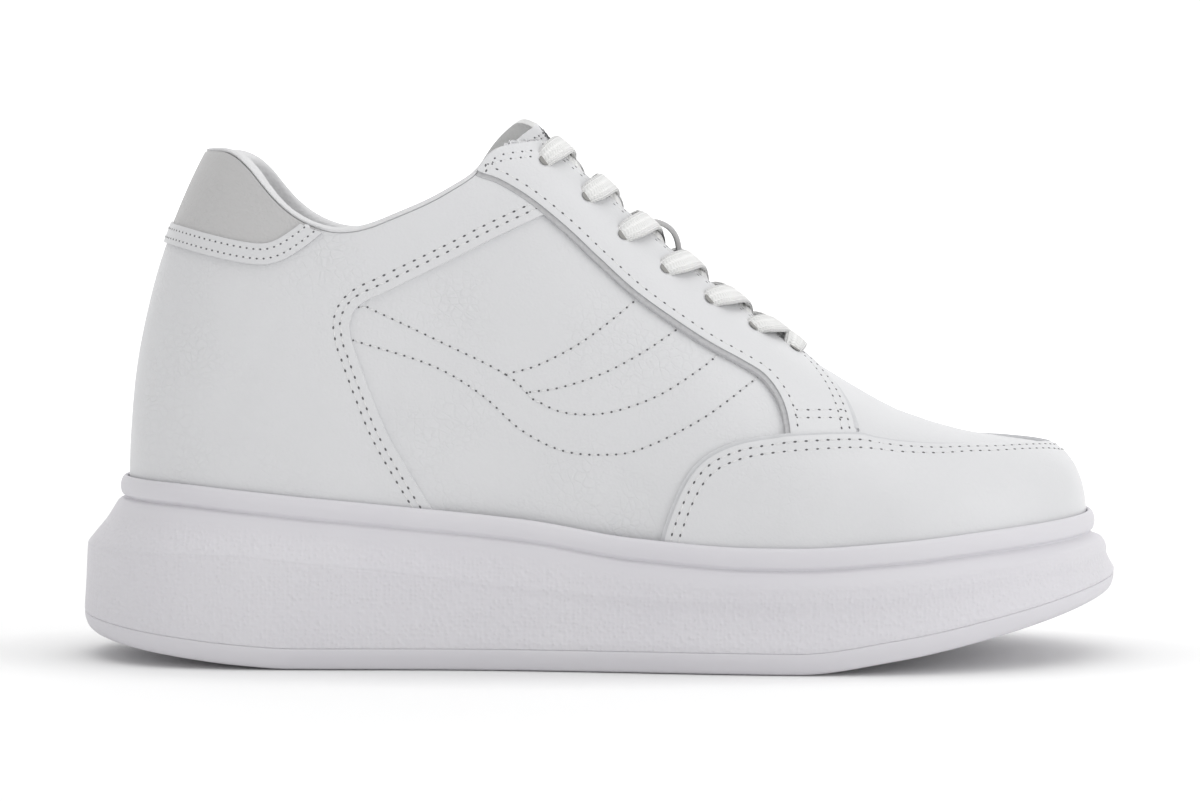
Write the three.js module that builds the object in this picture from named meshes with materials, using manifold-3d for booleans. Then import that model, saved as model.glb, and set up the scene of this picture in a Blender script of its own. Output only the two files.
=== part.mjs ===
// A low-top platform sneaker for the right foot, in millimetres.
// +X points to the toe, +Z up, and the outer (lateral) side of the shoe faces -Y.
// The origin is on the ground, at the middle of the bounding box's footprint.
//
// One skin function describes the outside of the lasted upper. It is grown or shrunk to make the wall,
// the overlays that are sewn on it, the tongue and the insole, and its foot line carries the sole.

import * as THREE from "three";
import { mergeVertices } from "three/addons/utils/BufferGeometryUtils.js";
import Module from "manifold-3d";

const wasm = await Module();
wasm.setup();

// ---------------------------------------------------------------- driving sizes

const WALL = 2.4; // upper: leather, foam and lining
const OVERLAY = 1.4; // leather pieces sewn on the upper stand this proud
const GAP = 0.3; // left between pieces that touch
const RIM_HEIGHT = 6.2; // moulded rim of the midsole, from its groove to its top
const CUP_DEPTH = 7; // the upper's foot stands this far below the rim
const OUTSOLE = 6; // height of the outsole's side wall
const TREAD_DEPTH = 2.2;
const TONGUE = 4.6; // thickness of the padded tongue
const EYELET_RADIUS = 2.4;
const LACE_WIDTH = 7.5;
const LACE_THICKNESS = 1.6;

const CENTRE_Y = 1.65; // brings the middle of the sole's width, ball included, over the origin

const COLUMNS_PER_STATION = 2;
const LEVELS = 10;

// ---------------------------------------------------------------- tables

function table(columns, rows) {
  return rows.map((row) => Object.fromEntries(columns.map((name, i) => [name, row[i]])));
}

// Stations round the shoe, from the back of the heel along a side to the toe tip. Both sides share a row.
// foot: where the upper meets the sole, with lateral and medial y. crest: where the skin closes over the
// instep, or opens as the leg. flat and lean: exponents of the curve between the two, a large "flat" for
// a flat top and a large "lean" for an upright wall. ledge, wall and edge: how far the sole's shoulder,
// its lower wall and the edge of its tread stand outside the foot line. bulge: fullness of the slope above
// the shoulder, as a share of the ledge.
const STATIONS = table(
  ["at", "footX", "footLat", "footMed", "crestX", "crestLat", "crestMed", "crestZ",
    "flat", "lean", "bulge", "ledge", "wall", "edge"],
  [
    ["heel back", -134.2, 0, 0, -101.5, 0, 0, 160, 1.0, 2.35, 0.56, 13.3, 14.2, 10],
    ["heel turn", -130.2, -15, 15, -99.5, -10.5, 10.5, 160, 1.0, 2.35, 0.56, 12.9, 13.8, 9.8],
    ["heel corner", -119.5, -27, 26.5, -94, -19, 19, 160, 1.0, 2.25, 0.56, 11.4, 12.5, 9],
    ["heel side", -102.5, -33.6, 32.5, -85, -25, 25, 160, 1.0, 2.1, 0.58, 9.2, 10.6, 7.6],
    ["ankle back", -80, -36, 33.5, -72, -27.5, 27.5, 160, 1.05, 2.0, 0.6, 7.6, 9.3, 6.8],
    ["ankle front", -57, -36.8, 32.8, -55, -26, 26, 160, 1.2, 2.0, 0.64, 6.8, 8.6, 6.3],
    ["shank", -34, -38, 31.6, -37, -17, 18, 160, 1.7, 1.8, 0.68, 6.4, 8.2, 6],
    ["waist", -12, -40.5, 32, -21, 0, 3.5, 148.6, 3.1, 1.7, 0.74, 6.2, 8, 5.8],
    ["instep", 8, -43.6, 34.6, 5, 0.9, 2.1, 127.5, 3.1, 1.7, 0.8, 6, 7.8, 5.6],
    ["joint", 28, -47, 38.8, 27, 0.9, 2.1, 108.5, 2.9, 1.8, 0.86, 5.8, 7.6, 5.4],
    ["ball", 48, -49.6, 43.4, 48, 0.9, 2.1, 92.5, 2.6, 1.9, 0.92, 5.7, 7.6, 5.2],
    ["forepart", 68, -50.3, 46.6, 67.5, 1, 2.2, 80, 2.3, 2.1, 0.98, 5.8, 7.8, 5.2],
    ["toe side", 88, -48.2, 46.3, 86, 1.4, 2.6, 69.6, 2.3, 2.3, 1.03, 6, 8, 5.2],
    ["toe corner", 108, -41, 42, 102, 2.2, 3.4, 64.1, 2.5, 2.5, 1.06, 6.3, 8.4, 5],
    ["toe bend", 124.5, -29, 32.5, 112, 3.2, 4.4, 62, 2.7, 2.7, 1.06, 6.8, 8.9, 4.6],
    ["toe turn", 135.3, -13.5, 20, 117.2, 3.6, 4.6, 61.1, 2.8, 2.8, 1.04, 7.2, 9.2, 4.2],
    ["toe tip", 139.1, 4, 4, 118.8, 4.1, 4.1, 60.9, 2.8, 2.8, 1.04, 7.3, 9.3, 4],
  ],
);

// Heights along the shoe. rim: top of the midsole's rim. shoulder: the line where the sole's slope turns
// into its wall. ground: underside of the tread's edge. bed: top of the insole.
const HEIGHTS = table(
  ["x", "rim", "shoulder", "ground", "bed"],
  [
    [-135, 51.4, 32, 6.6, 72],
    [-118, 50.8, 32, 3.4, 71],
    [-100, 49.2, 31.6, 1, 69.5],
    [-85, 47.7, 30, 0, 67],
    [-60, 45.4, 27.6, 0, 61],
    [-20, 41.5, 22, 0, 49.5],
    [10, 36.8, 19, 0, 42],
    [45, 34.5, 18.2, 0, 38],
    [54, 34.5, 18.3, 0, 37.5],
    [80, 36, 20, 3.6, 37.5],
    [110, 38.9, 25, 10, 39.5],
    [139, 41.2, 31, 17.4, 41.5],
  ],
);

// Top line of the quarters in side view, from the back of the heel to the top of the eyestays.
const TOP_LINE = [
  [-116, 144.2], [-106, 144.6], [-101.5, 143.4], [-97.2, 139.7], [-93.4, 135], [-89.6, 130.7],
  [-85, 126.8], [-79, 123.7], [-72.5, 122.3], [-65, 123.3], [-57, 126.4], [-48, 130.3],
  [-41, 134.2], [-35, 138.2], [-29.5, 144.4], [-19, 145.6],
];

// Half width of the throat, the slot between the two eyestays, seen from above, and the line it follows.
const THROAT = [
  [-40, 23], [-30, 17.5], [-20, 14.4], [-10, 13.2], [3, 12.6], [18, 12], [33, 11.2], [46, 10], [54, 8.2],
  [58.6, 5], [60, 0],
];
const THROAT_Y = 1.5;

// Side views of the overlays that are sewn on the upper.
const EYESTAY_LOWER = [
  [-35.2, 138.2], [-28, 135.2], [-19.6, 130], [-9.8, 122], [0, 112.8], [11.2, 102.8], [28, 91], [39, 84.6],
  [45.2, 80.6], [49.4, 75.4], [51.4, 70], [52.3, 62.6],
];
const EYESTAY_FRONT = [
  [72.4, -45], [72.2, -40], [71.6, -35], [69.8, -29], [66.8, -22], [62.4, -15.5], [57, -11.6], [50, -10.7],
];
const TOE_CAP_SIDE = [
  [17.4, 20], [17.9, 36], [19.8, 42.2], [22, 47.8], [25.4, 54], [30.3, 58.8], [38.7, 62.3], [50, 63.8],
  [64, 64], [80, 63.6],
];
const TOE_CAP_TOP = [
  [78, -34.4], [84, -32], [90, -29.2], [100, -22.6], [109, -15.8], [116, -9.4], [120, -3], [121.4, 4],
  [120, 11], [116, 16.6], [109, 21.6], [100, 26.4], [90, 30.2], [84, 31.6], [78, 33.2],
];
const HEEL_TAB_LOWER = [
  [-127, 119.6], [-118, 117.6], [-108, 115.2], [-100, 113.6], [-93.6, 113], [-88.6, 114.2], [-83.6, 117.2],
  [-78.8, 121], [-75.4, 125],
];

// ---------------------------------------------------------------- curves

const TOE = STATIONS.length - 1; // index of the toe tip
const STATIONS_ROUND = 2 * TOE; // stations on the closed loop

// Value of a table column at x, by a cubic that never overshoots its rows.
function heightAt(key, x) {
  const rows = HEIGHTS;
  const last = rows.length - 2;
  const slope = (i) => (rows[i + 1][key] - rows[i][key]) / (rows[i + 1].x - rows[i].x);
  const tangent = (i) => {
    if (i <= 0) return slope(0);
    if (i > last) return slope(last);
    const before = slope(i - 1);
    const after = slope(i);
    return before * after <= 0 ? 0 : (2 * before * after) / (before + after);
  };
  const at = THREE.MathUtils.clamp(x, rows[0].x, rows[last + 1].x);
  let i = 0;
  while (i < last && at > rows[i + 1].x) i++;
  const width = rows[i + 1].x - rows[i].x;
  const t = (at - rows[i].x) / width;
  const s = 1 - t;
  return (
    rows[i][key] * (1 + 2 * t) * s * s +
    rows[i + 1][key] * (3 - 2 * t) * t * t +
    width * s * t * (tangent(i) * s - tangent(i + 1) * t)
  );
}

// A column of the station table as a smooth closed curve round the shoe. The first half of the loop is
// the lateral side, heel to toe, and the second half is the medial side, toe to heel.
function roundShoe(lateralKey, medialKey = lateralKey) {
  const value = (i) => {
    const k = ((i % STATIONS_ROUND) + STATIONS_ROUND) % STATIONS_ROUND;
    return k <= TOE ? STATIONS[k][lateralKey] : STATIONS[STATIONS_ROUND - k][medialKey];
  };
  return (u) => {
    const i = Math.floor(u);
    const t = u - i;
    const [a, b, c, d] = [value(i - 1), value(i), value(i + 1), value(i + 2)];
    return b + 0.5 * t * (c - a + t * (2 * a - 5 * b + 4 * c - d + t * (3 * (b - c) + d - a)));
  };
}

const ROUND = {
  footX: roundShoe("footX"),
  footY: roundShoe("footLat", "footMed"),
  crestX: roundShoe("crestX"),
  crestY: roundShoe("crestLat", "crestMed"),
  crestZ: roundShoe("crestZ"),
  flat: roundShoe("flat"),
  lean: roundShoe("lean"),
  bulge: roundShoe("bulge"),
  ledge: roundShoe("ledge"),
  wall: roundShoe("wall"),
  edge: roundShoe("edge"),
};

// Smooth open curve through a few points of a plane, as a list of points.
function smooth(points, steps = 2) {
  const curve = new THREE.CatmullRomCurve3(points.map(([a, b]) => new THREE.Vector3(a, b, 0)), false, "centripetal");
  return curve.getPoints((points.length - 1) * steps).map((p) => [p.x, p.y]);
}

// ---------------------------------------------------------------- the skin of the upper

// Point of the skin at station u and level 0 (foot) to 1 (crest).
function skinPoint(u, level, drop = 0) {
  const footX = ROUND.footX(u);
  const footZ = heightAt("rim", footX) - CUP_DEPTH + GAP - drop;
  const angle = (level * Math.PI) / 2;
  const out = Math.max(0, Math.cos(angle)) ** (2 / ROUND.flat(u));
  const up = Math.sin(angle) ** (2 / ROUND.lean(u));
  return new THREE.Vector3(
    THREE.MathUtils.lerp(ROUND.crestX(u), footX, out),
    THREE.MathUtils.lerp(ROUND.crestY(u), ROUND.footY(u), out),
    THREE.MathUtils.lerp(footZ, ROUND.crestZ(u), up),
  );
}

// Outward normal of the skin.
function skinNormal(u, level) {
  const du = 0.02;
  const dl = 0.004;
  const low = Math.max(0.002, level - dl);
  const high = Math.min(0.998, level + dl);
  const along = skinPoint(u + du, level).sub(skinPoint(u - du, level));
  const upward = skinPoint(u, high).sub(skinPoint(u, low));
  return along.cross(upward).normalize();
}

const COLUMNS = STATIONS_ROUND * COLUMNS_PER_STATION;

// A closed solid from a stack of closed rings with the same number of points, bottom ring first. The two
// end rings are closed by strips across the shoe.
function stackRings(rings) {
  const n = rings[0].length;
  const corners = rings.flat();
  const index = [];
  const quad = (a, b, c, d) => index.push(a, b, c, a, c, d);
  for (let r = 0; r + 1 < rings.length; r++) {
    for (let j = 0; j < n; j++) {
      const k = (j + 1) % n;
      quad(r * n + j, r * n + k, (r + 1) * n + k, (r + 1) * n + j);
    }
  }
  const top = (rings.length - 1) * n;
  for (let j = 0; j < n / 2; j++) {
    const [a, b] = [j, j + 1];
    const [c, d] = [n - j - 1, (n - j) % n];
    if (d !== a) index.push(a, d, b, top + a, top + b, top + d);
    if (c !== b) index.push(d, c, b, top + d, top + b, top + c);
  }
  const geometry = new THREE.BufferGeometry().setFromPoints(corners);
  geometry.setIndex(index);
  return solidFrom(geometry);
}

function solidFrom(geometry) {
  const bare = geometry.index ? geometry.toNonIndexed() : geometry.clone();
  bare.deleteAttribute("normal");
  bare.deleteAttribute("uv");
  const merged = mergeVertices(bare, 1e-4);
  return new wasm.Manifold(
    new wasm.Mesh({
      numProp: 3,
      vertProperties: merged.attributes.position.array,
      triVerts: new Uint32Array(merged.index.array),
    }),
  );
}

function meshOf(solid) {
  const mesh = solid.getMesh();
  const geometry = new THREE.BufferGeometry();
  geometry.setAttribute("position", new THREE.BufferAttribute(new Float32Array(mesh.vertProperties), 3));
  geometry.setIndex(new THREE.BufferAttribute(mesh.triVerts, 1));
  return new THREE.Mesh(geometry, new THREE.MeshStandardMaterial());
}

// The skin grown outward by some millimetres, or by a function of the place, as a closed solid. drop
// lowers its foot, so that a shrunk form cuts right through the bottom of a larger one.
function form(grow, drop = 0, columns = COLUMNS_PER_STATION, levels = LEVELS) {
  const rings = [];
  for (let k = 0; k <= levels; k++) {
    const level = (k / levels) ** 1.25; // even rows of facets on the wall and over the shoulder
    const ring = [];
    for (let j = 0; j < STATIONS_ROUND * columns; j++) {
      const u = j / columns;
      const point = skinPoint(u, level, k === 0 ? drop : 0);
      ring.push(point.addScaledVector(skinNormal(u, level), typeof grow === "number" ? grow : grow(point)));
    }
    rings.push(ring);
  }
  return stackRings(rings);
}

// ---------------------------------------------------------------- cutters

const FAR = 90;

// Prism of an outline drawn in side view (x, z), reaching from one y to another.
function sidePrism(outline, fromY, toY) {
  const shape = new THREE.Shape(outline.map(([x, z]) => new THREE.Vector2(x, z)));
  const geometry = new THREE.ExtrudeGeometry(shape, { depth: toY - fromY, bevelEnabled: false });
  geometry.rotateX(Math.PI / 2);
  geometry.translate(0, toY, 0);
  return solidFrom(geometry);
}

// Prism of an outline drawn from above (x, y), reaching from one z to another.
function topPrism(outline, fromZ, toZ) {
  const shape = new THREE.Shape(outline.map(([x, y]) => new THREE.Vector2(x, y)));
  const geometry = new THREE.ExtrudeGeometry(shape, { depth: toZ - fromZ, bevelEnabled: false });
  geometry.translate(0, 0, fromZ);
  return solidFrom(geometry);
}

const mirrored = (points) => points.map(([x, y]) => [x, -y]);

// Everything above the top line of the quarters.
function aboveTopLine() {
  const line = smooth(TOP_LINE);
  const [firstX, firstZ] = line[0];
  const [lastX, lastZ] = line[line.length - 1];
  return sidePrism([[firstX - 40, firstZ], ...line, [lastX + 12, lastZ + 1], [lastX + 12, 190], [firstX - 40, 190]], -FAR, FAR);
}

// The slot between the eyestays.
function throatSlot() {
  const half = smooth(THROAT);
  return topPrism([...half, ...mirrored(half).reverse().slice(1)].reverse(), 60, 190).translate([0, THROAT_Y, 0]);
}

const outerForm = form(OVERLAY);
const overlayShell = outerForm.subtract(form(GAP, 5));
const opening = aboveTopLine().add(throatSlot());

// ---------------------------------------------------------------- pieces

// Lasted upper: vamp and quarters as one wall, open at the collar and throat and underneath.
function makeUpper() {
  return withEyelets(form(0).subtract(form(-WALL, 12)).subtract(opening));
}

// Side view of the eyelets, top row first.
const EYELETS = [
  [-16.9, 140.1], [-5.1, 130], [5.1, 119.3], [16.9, 109.7], [29.3, 101], [41.8, 93.3], [53.7, 86.8],
];

const skinRay = new THREE.Raycaster();
const skinMesh = meshOf(form(0, 0, 6, 60));

// Point and normal of the skin met by a ray.
function skinAlong(from, direction) {
  skinRay.set(from, direction);
  const hit = skinRay.intersectObject(skinMesh)[0];
  return { point: hit.point, normal: hit.face.normal.clone() };
}

const skinFromAbove = (x, y) => skinAlong(new THREE.Vector3(x, y, 200), new THREE.Vector3(0, 0, -1));
const skinFromSide = (x, z, side) => skinAlong(new THREE.Vector3(x, side * 90, z), new THREE.Vector3(0, -side, 0));

function withEyelets(solid) {
  let cut = solid;
  for (const side of [-1, 1]) {
    for (const [x, z] of EYELETS) {
      const { point, normal } = skinFromSide(x, z, side);
      const drill = new THREE.CylinderGeometry(EYELET_RADIUS, EYELET_RADIUS, 16, 8);
      drill.applyQuaternion(new THREE.Quaternion().setFromUnitVectors(new THREE.Vector3(0, 1, 0), normal));
      drill.translate(point.x, point.y, point.z);
      cut = cut.subtract(solidFrom(drill));
    }
  }
  return cut;
}

// Toe cap: the mudguard that wraps the toe from joint to joint.
function makeToeCap() {
  const side = smooth(TOE_CAP_SIDE);
  const behind = sidePrism([...side, [80, 20]].reverse(), -FAR, FAR);
  const ahead = sidePrism([[79.9, 20], [79.9, 90], [160, 90], [160, 20]].reverse(), -FAR, FAR);
  const inside = topPrism([...smooth(TOE_CAP_TOP), [70, 33.2], [70, -34.4]], 50, 120);
  return overlayShell.intersect(behind.add(ahead.subtract(inside)));
}

// Outline of an eyestay: its lower edge in side view, and its throat and front edges from above.
function eyestayRegion(side) {
  const lower = smooth(EYESTAY_LOWER);
  const sideView = sidePrism([...lower, [80, 62.6], [80, 190], [-60, 190], [-60, 138.2]].reverse(), -FAR, FAR);
  const throat = smooth(THROAT).filter(([x]) => x < 49);
  const front = smooth(EYESTAY_FRONT);
  const inner = [...throat.map(([x, y]) => [x, -y]), ...front.slice().reverse()];
  const outline = [...inner, [72.4, -FAR], [-60, -FAR], [-60, -23]];
  const region = topPrism(side < 0 ? outline : mirrored(outline).reverse(), 50, 190).translate([0, THROAT_Y, 0]);
  return sideView.intersect(region);
}

function makeEyestay(side) {
  const region = eyestayRegion(side);
  return withEyelets(
    overlayShell.intersect(region).subtract(aboveTopLine()).subtract(capClearance),
  );
}

// Heel tab: the soft grey piece at the top of the heel.
function makeHeelTab() {
  const lower = smooth(HEEL_TAB_LOWER);
  const region = sidePrism([[-160, 119.6], ...lower, [-75.4, 190], [-160, 190]].reverse(), -FAR, FAR);
  return overlayShell.intersect(region).subtract(aboveTopLine());
}

// Ring of the sole: the foot line moved outward, at a height for each of its points.
function soleRing(outward, height) {
  const ring = [];
  for (let j = 0; j < COLUMNS; j++) {
    const u = j / COLUMNS_PER_STATION;
    const point = skinPoint(u, 0);
    const du = 0.02;
    const along = skinPoint(u + du, 0).sub(skinPoint(u - du, 0)).setZ(0).normalize();
    const out = new THREE.Vector3(along.y, -along.x, 0);
    const moved = point.clone().addScaledVector(out, outward(u));
    ring.push(moved.setZ(height(point.x, u)));
  }
  return ring;
}

const rim = (x) => heightAt("rim", x);
const groove = (x) => rim(x) - RIM_HEIGHT;
const shoulder = (x) => heightAt("shoulder", x);
const parting = (x) => heightAt("ground", x) + OUTSOLE;
const between = (a, b, t) => a + (b - a) * t;

const GROOVE_OUT = 2.6;
const RIM_INSIDE = OVERLAY + GAP;

// Midsole: a cup moulded in one with its rim, a groove under the rim, a slope out to the shoulder and a
// wall down to the outsole.
function makeMidsole() {
  const rings = [
    soleRing((u) => ROUND.wall(u), (x) => parting(x) + GAP / 2),
    soleRing((u) => between(ROUND.ledge(u), ROUND.wall(u), 0.75), (x) => between(parting(x), shoulder(x), 0.5)),
    soleRing((u) => ROUND.ledge(u), shoulder),
    soleRing((u) => ROUND.bulge(u) * ROUND.ledge(u), (x) => between(groove(x), shoulder(x), 0.45)),
    soleRing(() => GROOVE_OUT, groove),
    soleRing(() => 3.3, (x) => rim(x) - 5.4),
    soleRing(() => 3.7, (x) => rim(x) - 3.1),
    soleRing(() => 3.2, (x) => rim(x) - 0.8),
    soleRing(() => 2.4, rim),
    soleRing(() => RIM_INSIDE, (x) => rim(x) - 0.6),
    soleRing(() => RIM_INSIDE, (x) => rim(x) - CUP_DEPTH),
  ];
  return stackRings(rings);
}

// Outsole: the rubber tread under the midsole, with bars cut across the heel and the forepart.
function makeOutsole() {
  const rings = [
    soleRing((u) => ROUND.edge(u), (x) => heightAt("ground", x)),
    soleRing((u) => ROUND.wall(u) - 1, (x) => heightAt("ground", x) + 2.2),
    soleRing((u) => ROUND.wall(u), (x) => parting(x) - GAP / 2),
  ];
  let sole = stackRings(rings);
  for (const [x, lead] of TREAD_GROOVES) sole = sole.subtract(treadGroove(x, lead));
  return sole;
}

// Grooves of the tread: x at the shoe's middle, and how far the ends run ahead of the middle.
const TREAD_GROOVES = [
  [-112, -9], [-96, -7], [-80, -5], [4, 8], [22, 8], [40, 8], [58, 8], [76, 6],
];

function treadGroove(x, lead) {
  const width = 3.4;
  const half = 33;
  const arc = [-1, -0.5, 0, 0.5, 1].map((t) => [x - lead * t * t, half * t]);
  const back = arc.map(([px, py]) => [px + width, py]).reverse();
  const low = heightAt("ground", x) - 8;
  return topPrism([...arc, ...back].reverse(), low, heightAt("ground", x) + TREAD_DEPTH);
}

// Insole: a wedge footbed that lifts the heel inside the upper.
function makeInsole() {
  const floor = (x) => rim(x) - CUP_DEPTH + GAP;
  const bed = (x) => heightAt("bed", x);
  const inset = (x) => -(WALL + 0.5) - 0.1 * Math.max(0, bed(x) - floor(x) - 6);
  const inward = (share) => (u) => -(WALL + 0.5) + share * (inset(ROUND.footX(u)) + WALL + 0.5);
  return stackRings([
    soleRing(inward(0), floor),
    soleRing(inward(0.4), (x) => between(floor(x), bed(x), 0.5)),
    soleRing(inward(1), bed),
    soleRing((u) => inward(1)(u) - 5, (x) => bed(x) - 0.4),
  ]);
}

// Tongue: a padded leaf under the eyestays, from the vamp to above the top line. It swells up between
// the eyestays towards its top.
function makeTongue() {
  const under = -(WALL + 0.5);
  const swell = ({ y, z }) =>
    4.8 * THREE.MathUtils.smoothstep(z, 138, 151) * THREE.MathUtils.smoothstep(14.5 - Math.abs(y - THROAT_Y), 1, 7);
  const leaf = form((p) => under + swell(p)).subtract(form(under - TONGUE, 12));
  const half = smooth([[-60, 30], [-30, 29], [-10, 27], [20, 24], [45, 20], [56, 18], [66, 16]]);
  const fromAbove = topPrism([...half, ...mirrored(half).reverse()].reverse(), 60, 190).translate([0, THROAT_Y, 0]);
  const alongside = sidePrism(
    [[-36.5, 139.5], [-24, 153], [-21, 153], [-13, 149], [72, 96], [72, 62], [20, 62], [-8, 96], [-33, 128]].reverse(),
    -FAR, FAR,
  );
  return leaf.intersect(fromAbove).intersect(alongside);
}

// A flat band along a list of places above the skin.
function band(places, lift, width, thickness) {
  const stops = places.map(([x, y, extra]) => {
    const { point, normal } = skinFromAbove(x, y);
    return { point: point.addScaledVector(normal, lift + extra), normal };
  });
  const rings = stops.map(({ point, normal }, i) => {
    const before = stops[Math.max(0, i - 1)].point;
    const after = stops[Math.min(stops.length - 1, i + 1)].point;
    const ahead = after.clone().sub(before).normalize();
    const across = new THREE.Vector3().crossVectors(ahead, normal).normalize();
    const upright = new THREE.Vector3().crossVectors(across, ahead).normalize();
    return [[-1, 0], [-0.8, 1], [0.8, 1], [1, 0], [0.8, -1], [-0.8, -1]].map(([a, b]) =>
      point.clone().addScaledVector(across, (a * width) / 2).addScaledVector(upright, (b * thickness) / 2),
    );
  });
  return stackRings(rings);
}

// Strand of the lace from the eyelet of one row to the far edge of the throat at the next row, where it
// dips under the eyestay.
function strand(row, side) {
  const start = skinFromSide(...EYELETS[row], side).point;
  const end = skinFromSide(...EYELETS[row + 1], -side).point;
  const over = side < 0 ? 0.9 : 0;
  return [0, 0.2, 0.4, 0.6, 0.8, 1].map((t) => [
    between(start.x + 1, end.x - 2, t),
    between(start.y - side * 3, end.y + side * 15.5, t),
    over * Math.sin(Math.PI * t) - 3.6 * THREE.MathUtils.smoothstep(t, 0.55, 1),
  ]);
}

const LACE_LIFT = OVERLAY + 1.5;

function makeCrossing(row) {
  const lateral = band(strand(row, -1), LACE_LIFT, LACE_WIDTH, LACE_THICKNESS);
  const medial = band(strand(row, 1), LACE_LIFT, LACE_WIDTH, LACE_THICKNESS);
  return lateral.add(medial);
}

// Bar of the lace straight across between the lowest eyelets.
function makeBar() {
  const [x, z] = EYELETS[EYELETS.length - 1];
  const lateral = skinFromSide(x, z, -1).point.y + 3;
  const medial = skinFromSide(x, z, 1).point.y - 3;
  return band([0, 0.17, 0.33, 0.5, 0.67, 0.83, 1].map((t) => [x + 3.5, between(lateral, medial, t), 0]),
    LACE_LIFT, LACE_WIDTH, LACE_THICKNESS);
}

// ---------------------------------------------------------------- assembly

const capClearance = (() => {
  const side = smooth(TOE_CAP_SIDE).map(([x, z]) => [x - GAP, z + GAP]);
  return sidePrism([...side, [80, 20], [17, 20]].reverse(), -FAR, FAR);
})();

const WHITE_LEATHER = { color: 0xeceded, roughness: 0.5 };
const FINISHES = {
  leather: WHITE_LEATHER,
  grey_leather: { color: 0xb9b8b6, roughness: 0.55 },
  lining: { color: 0xe6e6e4, roughness: 0.9 },
  sole_rubber: { color: 0xe9e7ec, roughness: 0.7 },
  lace: { color: 0xf2f2f0, roughness: 0.95 },
};

const shoe = new THREE.Group();

function addPiece(name, solid, finish) {
  const piece = meshOf(solid);
  piece.geometry.translate(0, CENTRE_Y, 0);
  piece.geometry.computeVertexNormals();
  piece.material.setValues({ ...FINISHES[finish], metalness: 0 });
  piece.name = name;
  shoe.add(piece);
}

addPiece("outsole", makeOutsole(), "sole_rubber");
addPiece("midsole", makeMidsole(), "sole_rubber");
addPiece("insole", makeInsole(), "lining");
addPiece("upper", makeUpper(), "leather");
addPiece("heel_tab", makeHeelTab(), "grey_leather");
addPiece("toe_cap", makeToeCap(), "leather");
addPiece("eyestay_lateral", makeEyestay(-1), "leather");
addPiece("eyestay_medial", makeEyestay(1), "leather");
addPiece("tongue", makeTongue(), "leather");
for (let row = 0; row + 1 < EYELETS.length; row++) addPiece(`lace_crossing_${row + 1}`, makeCrossing(row), "lace");
addPiece("lace_bar", makeBar(), "lace");

export default shoe;
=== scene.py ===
# A low-top platform sneaker for the right foot: white leather upper on a thick moulded sole.
# Order of the pieces: lasted upper, collar lining, overlays, tongue, stitching, sole, eyelets, lace.

import math

import bpy
import numpy as np
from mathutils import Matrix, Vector


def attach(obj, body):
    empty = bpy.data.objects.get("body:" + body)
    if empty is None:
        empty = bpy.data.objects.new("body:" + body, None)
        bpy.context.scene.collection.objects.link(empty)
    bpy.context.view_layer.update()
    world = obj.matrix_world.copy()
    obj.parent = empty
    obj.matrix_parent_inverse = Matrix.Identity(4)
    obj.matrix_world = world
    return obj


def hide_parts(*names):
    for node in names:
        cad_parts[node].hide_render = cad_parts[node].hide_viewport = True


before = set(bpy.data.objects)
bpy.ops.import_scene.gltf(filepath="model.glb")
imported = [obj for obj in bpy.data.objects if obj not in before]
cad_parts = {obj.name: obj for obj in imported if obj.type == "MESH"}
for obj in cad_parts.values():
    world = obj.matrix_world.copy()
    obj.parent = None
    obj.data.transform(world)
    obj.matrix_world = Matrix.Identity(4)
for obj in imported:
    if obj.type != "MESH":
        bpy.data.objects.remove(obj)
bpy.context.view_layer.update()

# ---------------------------------------------------------------- studio
# A seamless white sweep, a bright even sky and two soft lamps: one beside the toe and one overhead. The
# camera looks level at the outer side of the shoe, from about a metre away. Lengths here are metres.

BELOW_SOLE = 0.0002
SWEEP_HEIGHT = 3
SWEEP_RADIUS = 1.2
LIT_POINT = Vector((0, 0, 0.06))
SEEN_POINT = Vector((0, 0.00165, 0.0723))

bpy.ops.object.select_all(action="DESELECT")
bpy.ops.mesh.primitive_plane_add(size=5, location=(0, 0, -BELOW_SOLE))
floor = bpy.context.object
floor.name = "floor"
bpy.ops.object.mode_set(mode="EDIT")
bpy.ops.mesh.select_mode(type="EDGE")
bpy.ops.mesh.select_all(action="DESELECT")
bpy.ops.object.mode_set(mode="OBJECT")
for edge in floor.data.edges:
    edge.select = all(floor.data.vertices[i].co.y > 2 for i in edge.vertices)
bpy.ops.object.mode_set(mode="EDIT")
bpy.ops.mesh.extrude_region_move(TRANSFORM_OT_translate={"value": (0, 0, SWEEP_HEIGHT)})
bpy.ops.object.mode_set(mode="OBJECT")
sweep = floor.modifiers.new("sweep", "BEVEL")
sweep.width = SWEEP_RADIUS
sweep.segments = 24
bpy.ops.object.modifier_apply(modifier=sweep.name)
bpy.ops.object.shade_smooth()
bpy.ops.object.transform_apply(location=True, rotation=True, scale=True)


def add_node(tree, kind, values=None, **settings):
    """A new node. A value that is another node's output is linked."""
    node = tree.nodes.new(kind)
    for key, value in settings.items():
        setattr(node, key, value)
    for key, value in (values or {}).items():
        if isinstance(value, bpy.types.NodeSocket):
            tree.links.new(value, node.inputs[key])
        else:
            node.inputs[key].default_value = value
    return node


def paint(name, colour, roughness):
    """A new material with its shader's plain values."""
    material = bpy.data.materials.new(name)
    material.use_nodes = True
    shader = material.node_tree.nodes["Principled BSDF"]
    shader.inputs["Base Color"].default_value = (*colour, 1)
    shader.inputs["Roughness"].default_value = roughness
    return material, material.node_tree, shader


floor_paint, tree, shader = paint("floor_paint", (0.85, 0.85, 0.85), 0.9)
shader.inputs["Emission Color"].default_value = (1, 1, 1, 1)
place = add_node(tree, "ShaderNodeTexCoord").outputs["Object"]
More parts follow.
